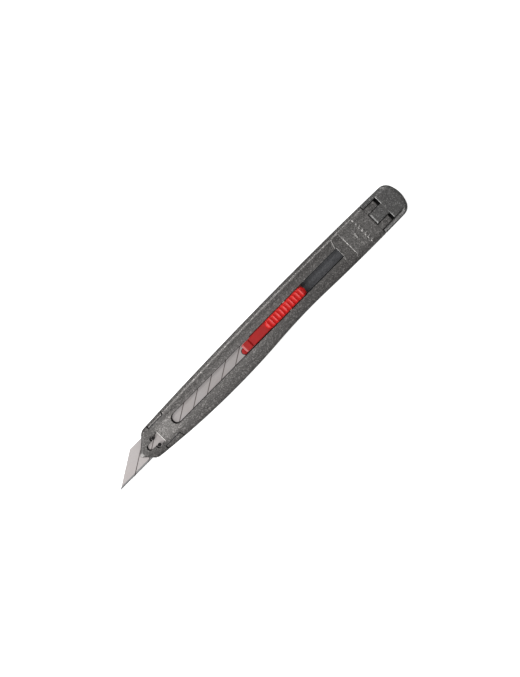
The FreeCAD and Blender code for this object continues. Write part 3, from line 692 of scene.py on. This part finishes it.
CAP_LIFT = 0.32
CAP_HALF = (CAP_HIGH.y - CAP_LOW.y) / 2
CAP_MIDDLE = (CAP_HIGH.y + CAP_LOW.y) / 2
BOW_X = CAP_HIGH.x - END_RADIUS
CORNER_Y = CAP_HALF - CORNER_RADIUS
CORNER_X = BOW_X + math.sqrt((END_RADIUS - CORNER_RADIUS) ** 2 - CORNER_Y ** 2)
RAIL_FADE = 2.2
CAVITY_GAP = 0.3
CAVITY_REAR_X = 76.4
SLIT_HALF = 5.0
SLIT_LOW_Z = 4.1
SLIT_HIGH_Z = 5.0
BOW_START_X = BOW_X + (CORNER_X - BOW_X) * END_RADIUS / (END_RADIUS - CORNER_RADIUS)


def cap_inset(x):
    """How far the cap's sides draw in at x: round corners, then the bowed end."""
    if x <= CORNER_X:
        return 0.0
    if x < BOW_START_X:
        return CORNER_RADIUS - math.sqrt(CORNER_RADIUS ** 2 - (x - CORNER_X) ** 2)
    return CAP_HALF - math.sqrt(END_RADIUS ** 2 - (x - BOW_X) ** 2)


def place_from_end(x, y):
    """How far a place is inside the cap's round corners and its bowed end."""
    out = abs(y - CAP_MIDDLE)
    place = END_RADIUS - math.hypot(x - BOW_X, out) if x > BOW_X else END_RADIUS
    if x > CORNER_X and out > CORNER_Y:
        place = min(place, CORNER_RADIUS - math.hypot(x - CORNER_X, out - CORNER_Y))
    return max(place, 0.0)


def cap_rim(x, y, place):
    """The cap's height: a shelf along its spine side and a rail along its belly side.

    Both run out at the corners, into one plain rim round the end.
    """
    side = through_points(CAP_PROFILE if y > CAP_MIDDLE else CAP_BELLY_PROFILE, place)
    end_share = eased((x - CORNER_X) / RAIL_FADE)
    return side * (1 - end_share) + through_points(CAP_END_PROFILE, place) * end_share


def cap_section(x, inset):
    """A closed section of the cap, drawn in by inset: the face above and the back below."""
    low = lower_edge(x) + cap_inset(x) + inset
    high = upper_edge(x) - cap_inset(x) - inset
    full = across(x)
    top = []
    bottom = []
    for edge in full:
        y = low + (high - low) * (edge - full[0]) / (full[-1] - full[0])
        place = min(y - low, high - y, place_from_end(x, y))
        top.append((x, y, cap_rim(x, y, place) + CAP_LIFT - inset))
        bottom.append((x, y, through_points(BACK_PROFILE, place) + inset))
    return top + bottom[::-1]


def make_end_cap(skin, wall):
    front_x = CAP_LOW.x
    places = [(front_x, 0.12), (front_x + 0.3, 0.0)]
    places += [(x, 0.0) for x in stations((front_x + 0.8, 76.0, 1.0), (76.0, 80.5, 0.25),
                                          (80.5, CAP_HIGH.x - 0.03, 0.06))]
    cap = loft("cap", [cap_section(x, inset) for x, inset in places], skin)
    cavity_half = TONGUE_HALF + CAVITY_GAP
    cut(cap, box_piece("cavity", (front_x - 1, -cavity_half, TONGUE_LOW_Z - CAVITY_GAP),
                       (CAVITY_REAR_X, cavity_half, TONGUE_TOP_Z + CAVITY_GAP), wall))
    for side in (1, -1):
        cut(cap, notch_cutter(side, skin, wall))
    cut(cap, tongue_bevel(skin))
    cut(cap, box_piece("slit", (CAVITY_REAR_X - 1, -SLIT_HALF, SLIT_LOW_Z),
                       (CAP_HIGH.x + 1, SLIT_HALF, SLIT_HIGH_Z), wall))
    finish_piece(cap, "cap", ["end_cap"])
    return cap


def notch_cutter(side, skin, wall):
    """The notch for one prong, with a lip round its mouth. Its walls take the black wall material: painted
    shade.
    """
    low = PRONG_INNER - PRONG_GAP
    high = PRONG_OUTER + PRONG_GAP

    def outline(grow):
        return [(CAP_LOW.x - 1, side * (low - grow)), (NOTCH_REAR_X + grow, side * (low - grow)),
                (NOTCH_REAR_X + grow, side * (high + grow)), (CAP_LOW.x - 1, side * (high + grow))]

    return flared("notch", outline, TONGUE_TOP_Z, CAP_HIGH.z - 0.12, 0.0, skin, wall)


def tongue_bevel(skin):
    """The bevel along the front edge of the cap's middle tongue."""
    top_z = CAP_HIGH.z - 0.12
    length = 0.7
    depth = 0.3
    profile = [(CAP_LOW.x - length, top_z + depth), (CAP_LOW.x - length, top_z - 2 * depth),
               (CAP_LOW.x + 2 * length, top_z + depth)]
    ends = (-PRONG_INNER + 0.6, PRONG_INNER - 0.6)
    return loft("bevel", [[(x, y, z) for x, z in profile] for y in ends], skin)


# ---- slider ----------------------------------------------------------------------------------

RIB_PITCH = 1.84
FIRST_EDGE_X = 7.36
VALLEY_COUNT = 10
LAST_EDGE_X = FIRST_EDGE_X + VALLEY_COUNT * RIB_PITCH
VALLEY_DEPTH = 0.3
GRIP_FRONT_DROP = 0.95
GRIP_REAR_DROP = 0.75
GRIP_CROWN = 0.09
GRIP_ROUND = 0.55
GRIP_BASE_Z = 8.5


def grip_height(x):
    """The height of the grip's top along its middle: scooped valleys between sharp ribs."""
    top_z = GRIP_HIGH.z
    if x < FIRST_EDGE_X:
        share = (x - GRIP_LOW.x) / (FIRST_EDGE_X - GRIP_LOW.x)
        return top_z - GRIP_FRONT_DROP * (1 - share) ** 1.8
    if x > LAST_EDGE_X:
        share = (GRIP_HIGH.x - x) / (GRIP_HIGH.x - LAST_EDGE_X)
        return top_z - VALLEY_DEPTH - GRIP_REAR_DROP * (1 - share) ** 2.2
    phase = 2 * math.modf((x - FIRST_EDGE_X) / RIB_PITCH)[0] - 1
    return top_z - VALLEY_DEPTH * (1 - phase * phase)


def make_thumb_grip(material):
    """The red grip: a round-ended block with scooped ribs right across its crowned top."""
    radius = (GRIP_HIGH.y - GRIP_LOW.y) / 2
    places = stations((GRIP_LOW.x + 0.01, GRIP_LOW.x + 0.5, 0.05), (GRIP_LOW.x + 0.5, FIRST_EDGE_X, 0.12))
    for index in range(VALLEY_COUNT):
        edge_x = FIRST_EDGE_X + index * RIB_PITCH
        places += steps(edge_x, edge_x + RIB_PITCH, 0.15)[1:]
    places += stations((LAST_EDGE_X, GRIP_HIGH.x - 0.5, 0.12),
                       (GRIP_HIGH.x - 0.5, GRIP_HIGH.x - 0.01, 0.05))[1:]
    across_steps = 18
    sections = []
    for x in places:
        reach = min(x - GRIP_LOW.x, GRIP_HIGH.x - x)
        half = radius if reach > radius else math.sqrt(radius ** 2 - (radius - reach) ** 2)
        top = grip_height(x)
        section = [(x, AXIS_Y - half, GRIP_BASE_Z), (x, AXIS_Y - half, GRIP_BASE_Z + 0.4)]
        for index in range(across_steps + 1):
            out = math.sin((2 * index / across_steps - 1) * math.pi / 2)
            crown = GRIP_CROWN * out * out + GRIP_ROUND * (1 - math.sqrt(1 - abs(out) ** 6))
            section.append((x, AXIS_Y + half * out, max(top - crown, GRIP_BASE_Z + 0.45)))
        section += [(x, AXIS_Y + half, GRIP_BASE_Z + 0.4), (x, AXIS_Y + half, GRIP_BASE_Z)]
        sections.append(section)
    grip = loft("grip", sections, material)
    finish_piece(grip, "slider", ["thumb_grip"], angle=math.radians(40))
    return grip


ARM_HALF = 1.88
ARM_ROUND = 0.22
ARM_TOP_Z = 8.5
BLOCK_FRONT_X = -6.7
BLOCK_REAR_X = -3.2
ARM_FRONT_X = BLOCK_REAR_X + 0.45
ARM_REAR_X = 25.4
WING_FRONT_X = -1.6
WING_TOP_Z = 7.45

# The top of the slider's arm: a bevelled block at its front, then a plain flat arm.
ARM_OUTLINE = [(BLOCK_FRONT_X, 8.76), (BLOCK_FRONT_X + 0.8, 9.1), (BLOCK_REAR_X - 0.2, 9.15),
               (BLOCK_REAR_X, 8.95), (ARM_FRONT_X, ARM_TOP_Z + 0.05), (40.0, ARM_TOP_Z)]


def arm_height(x):
    for (x0, z0), (x1, z1) in zip(ARM_OUTLINE, ARM_OUTLINE[1:]):
        if x <= x1:
            return z0 + (z1 - z0) * (x - x0) / (x1 - x0)
    return ARM_TOP_Z


def make_slider_carriage(material):
    """The red base under the grip: its arm, its block, its wings and the peg in the blade's hole."""
    arm_low_z = BLADE_HIGH.z + 0.075
    places = [x for x, _ in ARM_OUTLINE[:-1]] + steps(ARM_FRONT_X, ARM_REAR_X, 1.5)[1:]
    sections = []
    for x in places:
        top = arm_height(x)
        half = ARM_HALF - (0.12 if x == BLOCK_FRONT_X else 0.0)
        side = [(half, arm_low_z), (half, top - ARM_ROUND), (half - 0.07, top - 0.08),
                (half - ARM_ROUND, top)]
        sections.append([(x, AXIS_Y + out, z) for out, z in side]
                        + [(x, AXIS_Y - out, z) for out, z in reversed(side)])
    carriage = loft("carriage", sections, material)
    wing = (CARRIAGE_HIGH.y - CARRIAGE_LOW.y) / 2
    unite(carriage, box_piece("wings", (WING_FRONT_X, AXIS_Y - wing, CARRIAGE_LOW.z),
                              (CARRIAGE_HIGH.x, AXIS_Y + wing, WING_TOP_Z), material))
    unite(carriage, blade_peg(material))
    ear_x = (SPRING_HIGH.x + SPRING_LOW.x) / 2 + 1.05
    ear_gap = 0.6
    near = (GRIP_HIGH.y - GRIP_LOW.y) / 2 - 0.15
    spring_half = (SPRING_HIGH.y - SPRING_LOW.y) / 2 + 0.15
    for side in (1, -1):
        low_y, high_y = sorted((AXIS_Y + side * near, AXIS_Y + side * spring_half))
        cut(carriage, box_piece("ear_hole", (ear_x - ear_gap, low_y, CARRIAGE_LOW.z - 1),
                                (ear_x + ear_gap, high_y, FACE_Z + 0.5), material))
    cut(carriage, box_piece("leaf_recess", (GRIP_LOW.x, AXIS_Y - spring_half, CARRIAGE_LOW.z - 1),
                            (GRIP_HIGH.x, AXIS_Y + spring_half, CARRIAGE_LOW.z + 0.45), material))
    finish_piece(carriage, "slider", ["slider_carriage"])
    return carriage


def blade_peg(material):
    """The round peg that holds the blade by the hole in its last segment."""
    radius = 1.25
    rings = [(1.0, CARRIAGE_LOW.z), (1.0, 7.2), (0.9, 7.3), (0.5, 7.34)]
    return round_solid("peg", (CARRIAGE_LOW.x + 1.35, -0.4), radius, rings, 32, material)


# ---- materials -------------------------------------------------------------------------------

class Material:
    """A node material on one Principled shader, in the object's own coordinates."""

    def __init__(self, name):
        self.material = bpy.data.materials.new(name)
        self.material.use_nodes = True
        self.nodes = self.material.node_tree.nodes
        self.links = self.material.node_tree.links
        self.shader = next(node for node in self.nodes if node.type == "BSDF_PRINCIPLED")
        self.place = self.nodes.new("ShaderNodeTexCoord").outputs["Object"]

    def set(self, **values):
        for name, value in values.items():
            self.shader.inputs[name.replace("_", " ")].default_value = value

    def scaled(self, stretch):
        mapping = self.nodes.new("ShaderNodeMapping")
        mapping.inputs["Scale"].default_value = stretch
        self.links.new(self.place, mapping.inputs["Vector"])
        return mapping.outputs["Vector"]

    def noise(self, size, detail=3.0, stretch=(1, 1, 1)):
        """Noise whose lumps are about size millimetres across."""
        node = self.nodes.new("ShaderNodeTexNoise")
        node.inputs["Scale"].default_value = 1 / (size * MM)
        node.inputs["Detail"].default_value = detail
        self.links.new(self.scaled(stretch), node.inputs["Vector"])
        return node.outputs["Fac"]

    def flakes(self, size):
        """One random value for each cell of about size millimetres."""
        node = self.nodes.new("ShaderNodeTexVoronoi")
        node.inputs["Scale"].default_value = 1 / (size * MM)
        self.links.new(self.place, node.inputs["Vector"])
        split = self.nodes.new("ShaderNodeSeparateColor")
        self.links.new(node.outputs["Color"], split.inputs["Color"])
        return split.outputs["Red"]

    def ramp(self, source, *stops):
        """Map a value through (place, colour) stops."""
        node = self.nodes.new("ShaderNodeValToRGB")
        elements = node.color_ramp.elements
        elements[0].position, elements[0].color = stops[0][0], (*stops[0][1], 1)
        elements[1].position, elements[1].color = stops[-1][0], (*stops[-1][1], 1)
        for position, colour in stops[1:-1]:
            element = elements.new(position)
            element.color = (*colour, 1)
        self.links.new(source, node.inputs["Fac"])
        return node.outputs["Color"]

    def mix(self, factor, first, second, kind="MIX"):
        node = self.nodes.new("ShaderNodeMix")
        node.data_type = "RGBA"
        node.blend_type = kind
        for value, socket in ((factor, node.inputs["Factor"]), (first, node.inputs["A"]),
                              (second, node.inputs["B"])):
            socket = self.colour_socket(node, socket)
            if isinstance(value, bpy.types.NodeSocket):
                self.links.new(value, socket)
            elif isinstance(value, tuple):
                socket.default_value = (*value, 1)
            else:
                socket.default_value = value
        return self.output_colour(node)

    def toned(self, colour, tone):
        """A colour multiplied by one number."""
        return self.mix(1.0, colour, (tone, tone, tone), "MULTIPLY")

    @staticmethod
    def colour_socket(node, socket):
        """The colour version of a Mix node's A or B, and the plain float of its factor."""
        if socket.name in ("A", "B"):
            return next(item for item in node.inputs if item.name == socket.name and item.type == "RGBA")
        return next(item for item in node.inputs if item.name == "Factor" and item.type == "VALUE")

    @staticmethod
    def output_colour(node):
        return next(item for item in node.outputs if item.type == "RGBA")

    def fade(self, source, start, end):
        """A smooth step from zero at start to one at end, both in metres."""
        node = self.nodes.new("ShaderNodeMapRange")
        node.interpolation_type = "SMOOTHSTEP"
        node.inputs["From Min"].default_value = start
        node.inputs["From Max"].default_value = end
        self.links.new(source, node.inputs["Value"])
        return node.outputs["Result"]

    def axes(self):
        """The object coordinates one by one."""
        split = self.nodes.new("ShaderNodeSeparateXYZ")
        self.links.new(self.place, split.inputs["Vector"])
        return split.outputs["X"], split.outputs["Y"], split.outputs["Z"]

    def maths(self, operation, first, second=0.0, third=0.0):
        node = self.nodes.new("ShaderNodeMath")
        node.operation = operation
        for value, socket in zip((first, second, third), node.inputs):
            if isinstance(value, bpy.types.NodeSocket):
                self.links.new(value, socket)
            else:
                socket.default_value = value
        return node.outputs["Value"]

    def colour(self, source):
        self.links.new(source, self.shader.inputs["Base Color"])

    def roughness(self, source, low, high):
        span = self.maths("MULTIPLY_ADD", source, high - low, low)
        self.links.new(span, self.shader.inputs["Roughness"])

    def bump(self, source, depth):
        """Raise the surface by up to depth millimetres."""
        node = self.nodes.new("ShaderNodeBump")
        node.inputs["Distance"].default_value = depth * MM
        node.inputs["Strength"].default_value = 1.0
        self.links.new(source, node.inputs["Height"])
        self.links.new(node.outputs["Normal"], self.shader.inputs["Normal"])


def flaked_grey(name, base, roughness, metal, end_shade_tone=1.0):
    """Graphite grey moulding with fine metal flake; painted shade darkens its ends, painted highlight
    lightens the nose.
    """
    look = Material(name)
    look.set(Metallic=metal, IOR=1.5)
    flake = look.flakes(0.35)
    mottle = look.noise(0.3, 2.0)
    dark = tuple(channel * 0.6 for channel in base)
    light = tuple(channel * 1.4 for channel in base)
    bright = tuple(min(channel * 3.0, 1.0) for channel in base)
    ground = look.ramp(mottle, (0.36, dark), (0.64, light))
    spots = look.ramp(flake, (0.0, (0, 0, 0)), (0.7, (0, 0, 0)), (1.0, (0.7, 0.7, 0.7)))
    speckled = look.mix(spots, ground, bright)
    x, _, _ = look.axes()
    # Painted shade: the colour darkens towards the tail, from x = -5 mm to 35 mm, and ahead of x = -52 mm
    # at the nose, for the light falling off there.
    rear = look.maths("MULTIPLY", look.fade(x, -5 * MM, 35 * MM), 0.72)
    ends = look.maths("MAXIMUM", rear, look.fade(x, -52 * MM, -57 * MM))
    end_shaded = look.mix(ends, speckled, look.toned(speckled, end_shade_tone))
    # Painted highlight: the nose between the window and the slot is lightened 1.45 times, for the light
    # that its face catches there.
    look.colour(look.mix(painted_nose_highlight(look), end_shaded, look.toned(end_shaded, 1.45)))
    look.roughness(mottle, roughness - 0.08, roughness + 0.1)
    look.bump(look.maths("ADD", look.noise(0.25, 2.0), look.maths("MULTIPLY", flake, 0.35)), 0.011)
    return look.material


def painted_nose_highlight(look):
    """Where the nose gets its painted highlight: one between the nose window and the slot, fading to zero
    towards the handle's edges.
    """
    x, y, _ = look.axes()
    along = look.fade(x, (SLOT_FRONT_X + 7.0) * MM, (SLOT_FRONT_X - 1.0) * MM)
    aside = look.maths("ABSOLUTE", look.maths("SUBTRACT", y, 0.16 * MM))
    middle = look.fade(aside, 4.2 * MM, 2.8 * MM)
    behind_window = look.fade(x, -56.0 * MM, -54.0 * MM)
    return look.maths("MULTIPLY", along, look.maths("MULTIPLY", middle, behind_window))


def blade_steel():
    """Ground strip steel: a darker, coarser cutting bevel, lines where it is scored to snap, and a painted
    highlight on its front end.
    """
    look = Material("blade_steel")
    look.set(Metallic=0.85)
    grain = look.noise(0.5, 3.0, stretch=(0.12, 1.6, 1))
    cloud = look.noise(6.0, 2.0)
    ground = look.ramp(cloud, (0.3, (0.51, 0.47, 0.46)), (0.7, (0.53, 0.5, 0.495)))
    x, y, _ = look.axes()
    # Painted highlight: from x = -60 mm forwards the blade is lightened 1.13 times, for the full light on
    # the part that stands out of the handle.
    painted_lit_tip = look.mix(look.fade(x, -60 * MM, -67 * MM), ground, look.toned(ground, 1.13))
    bevel_width = 0.86
    bevel = look.maths("LESS_THAN", y, (BLADE_LOW.y + bevel_width) * MM)
    bevel_tone = look.ramp(grain, (0.3, (0.34, 0.34, 0.345)), (0.7, (0.4, 0.4, 0.4)))
    bevelled = look.mix(bevel, painted_lit_tip, bevel_tone)
    look.colour(look.mix(score_mask(look, x, y), bevelled, (0.11, 0.09, 0.085)))
    coarser_bevel = look.maths("MULTIPLY", bevel, 4.0)
    look.roughness(look.maths("MAXIMUM", grain, coarser_bevel), 0.3, 0.42)
    look.bump(grain, 0.002)
    return look.material


def score_mask(look, x, y):
    """One in the scored lines, which lean over the blade at an even pitch, and zero elsewhere."""
    pitch = 8.0 * MM
    softness = 0.3 * MM
    lean = 1 / math.tan(math.radians(32.0))
    start = (BLADE_LOW.x - BLADE_LOW.y * lean + 0.1) * MM
    along = look.maths("MULTIPLY_ADD", y, -lean, x)
    run = look.maths("SUBTRACT", along, start)
    away = look.maths("PINGPONG", run, pitch / 2)
    line = look.maths("MULTIPLY_ADD", away, -1 / softness, 1.5)
    near = look.maths("MINIMUM", look.maths("MAXIMUM", line, 0.0), 1.0)
    last = look.maths("LESS_THAN", run, pitch * 8.5)
    first = look.maths("GREATER_THAN", run, pitch * 0.5)
    return look.maths("MULTIPLY", near, look.maths("MULTIPLY", first, last))


def red_plastic(name, base, shine):
    look = Material(name)
    look.set(Specular_IOR_Level=shine)
    cloud = look.noise(2.5, 3.0)
    grain = look.noise(0.12, 2.0)
    darker = tuple(channel * 0.82 for channel in base)
    look.colour(look.ramp(cloud, (0.3, darker), (0.75, base)))
    look.roughness(grain, 0.32, 0.45)
    look.bump(grain, 0.003)
    return look.material


def dark_steel(name, base):
    look = Material(name)
    look.set(Metallic=0.8, Specular_IOR_Level=0.2)
    grain = look.noise(0.4, 3.0, stretch=(0.1, 1.5, 1))
    darker = tuple(channel * 0.7 for channel in base)
    look.colour(look.ramp(grain, (0.3, darker), (0.75, base)))
    look.roughness(grain, 0.4, 0.6)
    look.bump(grain, 0.003)
    return look.material


def guide_steel():
    """Dull blued strip, mottled where the slider has rubbed it, with painted light: paler along its spine
    side, darker along its belly side.
    """
    look = Material("guide_steel")
    look.set(Specular_IOR_Level=0.2)
    mottle = look.noise(0.45, 2.0)
    rubbed = look.ramp(mottle, (0.36, (0.046, 0.047, 0.05)), (0.64, (0.088, 0.089, 0.094)))
    _, y, _ = look.axes()
    # Painted light: toned 0.85 along the belly side and 1.5 along the spine side, for the light falling
    # from the spine side.
    painted_light_side = look.fade(y, (AXIS_Y - SLOT_HALF) * MM, (AXIS_Y + SLOT_HALF) * MM)
    look.colour(look.mix(painted_light_side, look.toned(rubbed, 0.85), look.toned(rubbed, 1.5)))
    look.roughness(mottle, 0.4, 0.6)
    look.bump(mottle, 0.004)
    return look.material


# Near-black plastic for the hidden inner parts, and painted shade on the walls cut through the covers and
# the cap: the slot, the window, the pin seats and the notches.
def black_plastic_and_shade():
    look = Material("black_plastic_and_shade")
    look.set(Specular_IOR_Level=0.2)
    grain = look.noise(0.1, 2.0)
    look.colour(look.ramp(grain, (0.3, (0.004, 0.004, 0.004)), (0.7, (0.009, 0.008, 0.008))))
    look.roughness(grain, 0.45, 0.6)
    look.bump(grain, 0.004)
    return look.material


def dress_node(node, material, bevel=0.0):
    """Give a CAD node that stays in view its material, and soften its edges."""
    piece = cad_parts[node]
    piece.data.materials.clear()
    piece.data.materials.append(material)
    if bevel:
        modifier = piece.modifiers.new("soft_edges", "BEVEL")
        modifier.width = bevel * MM
        modifier.segments = 2
        modifier.limit_method = "ANGLE"
        modifier.angle_limit = math.radians(35)
        modifier.harden_normals = True


# ---- stage -----------------------------------------------------------------------------------

ROLL = math.radians(-45.36)
VIEW_HEIGHT = 1000.0
FRAME_WIDTH = 208.0
FRAME_HEIGHT = FRAME_WIDTH * 677 / 520
AIM_RIGHT = 1.38
AIM_UP = -0.24


def make_camera():
    """Straight down on the slider's face, rolled so that the knife lies corner to corner."""
    data = bpy.data.cameras.new("camera")
    camera = bpy.data.objects.new("camera", data)
    bpy.context.scene.collection.objects.link(camera)
    right = Vector((math.cos(ROLL), math.sin(ROLL), 0))
    up = Vector((-math.sin(ROLL), math.cos(ROLL), 0))
    aim = right * AIM_RIGHT + up * AIM_UP
    camera.location = (aim + Vector((0, 0, VIEW_HEIGHT + FACE_Z))) * MM
    camera.rotation_euler = (0, 0, ROLL)
    data.sensor_fit = "AUTO"
    data.lens = data.sensor_width * VIEW_HEIGHT / FRAME_HEIGHT
    data.clip_start = 0.01
    data.clip_end = 10
    bpy.context.scene.camera = camera


def area_light(name, place, size, power, target=(0.0, 0.0, 0.0)):
    data = bpy.data.lights.new(name, "AREA")
    data.shape = "RECTANGLE"
    data.size, data.size_y = size
    data.energy = power
    light = bpy.data.objects.new(name, data)
    bpy.context.scene.collection.objects.link(light)
    light.location = Vector(place)
    light.rotation_euler = (Vector(target) - Vector(place)).to_track_quat("-Z", "Y").to_euler()
    light.visible_camera = False


def make_stage():
    """A pale floor under a soft box, with a strip light beside the spine and one beyond the nose."""
    floor = make_mesh("floor", [(-3000, -3000, 0), (3000, -3000, 0), (3000, 3000, 0), (-3000, 3000, 0)],
                      [(0, 1, 2, 3)])
    floor.location.z = -0.02 * MM
    look = Material("pale_floor")
    look.set(Base_Color=(0.9, 0.9, 0.9, 1), Roughness=0.9,
             Emission_Color=(1, 1, 1, 1), Emission_Strength=0.8)
    floor.data.materials.append(look.material)
    floor.visible_glossy = False
    area_light("soft_box", (-0.36, 0.28, 0.6), (0.85, 0.75), 1.15, target=(-0.36, 0.28, 0.0))
    area_light("spine_strip", (-0.05, 0.41, 0.57), (1.2, 0.06), 2.6)
    area_light("nose_strip", (-0.39, 0.0, 0.32), (0.06, 0.35), 1.5)
    world = bpy.data.worlds.new("studio")
    world.use_nodes = True
    background = next(node for node in world.node_tree.nodes if node.type == "BACKGROUND")
    background.inputs["Color"].default_value = (1, 1, 1, 1)
    background.inputs["Strength"].default_value = 0.17
    bpy.context.scene.world = world
    bpy.context.scene.view_settings.view_transform = "Standard"


# ---- putting it together ---------------------------------------------------------------------

make_camera()
make_stage()
# The cover's last figure, 0.7, is the painted shade at its ends.
cover_grey = flaked_grey("cover_grey", (0.153, 0.146, 0.141), 0.35, 0.55, 0.7)
collar_grey = flaked_grey("collar_grey", (0.152, 0.146, 0.141), 0.35, 0.55)
cap_grey = flaked_grey("cap_grey", (0.104, 0.102, 0.1), 0.38, 0.4)
grip_red = red_plastic("grip_red", (0.7, 0.014, 0.012), shine=0.32)
arm_red = red_plastic("arm_red", (0.44, 0.008, 0.007), shine=0.48)
black_walls_and_shade = black_plastic_and_shade()
make_front_cover(cover_grey, black_walls_and_shade)
make_back_cover(cover_grey, black_walls_and_shade)
make_tail_collar(collar_grey, black_walls_and_shade)
make_end_cap(cap_grey, black_walls_and_shade)
make_thumb_grip(grip_red)
make_slider_carriage(arm_red)
dress_node("blade", blade_steel())
dress_node("blade_guide", guide_steel())
dress_node("guide_rivet", dark_steel("rivet_steel", (0.07, 0.07, 0.075)))
dress_node("detent_spring", dark_steel("spring_steel", (0.6, 0.58, 0.52)), bevel=0.05)
# Painted shade: the steady pins are near black, to read as the dark pits round them.
dress_node("steady_pins", black_walls_and_shade, bevel=0.08)
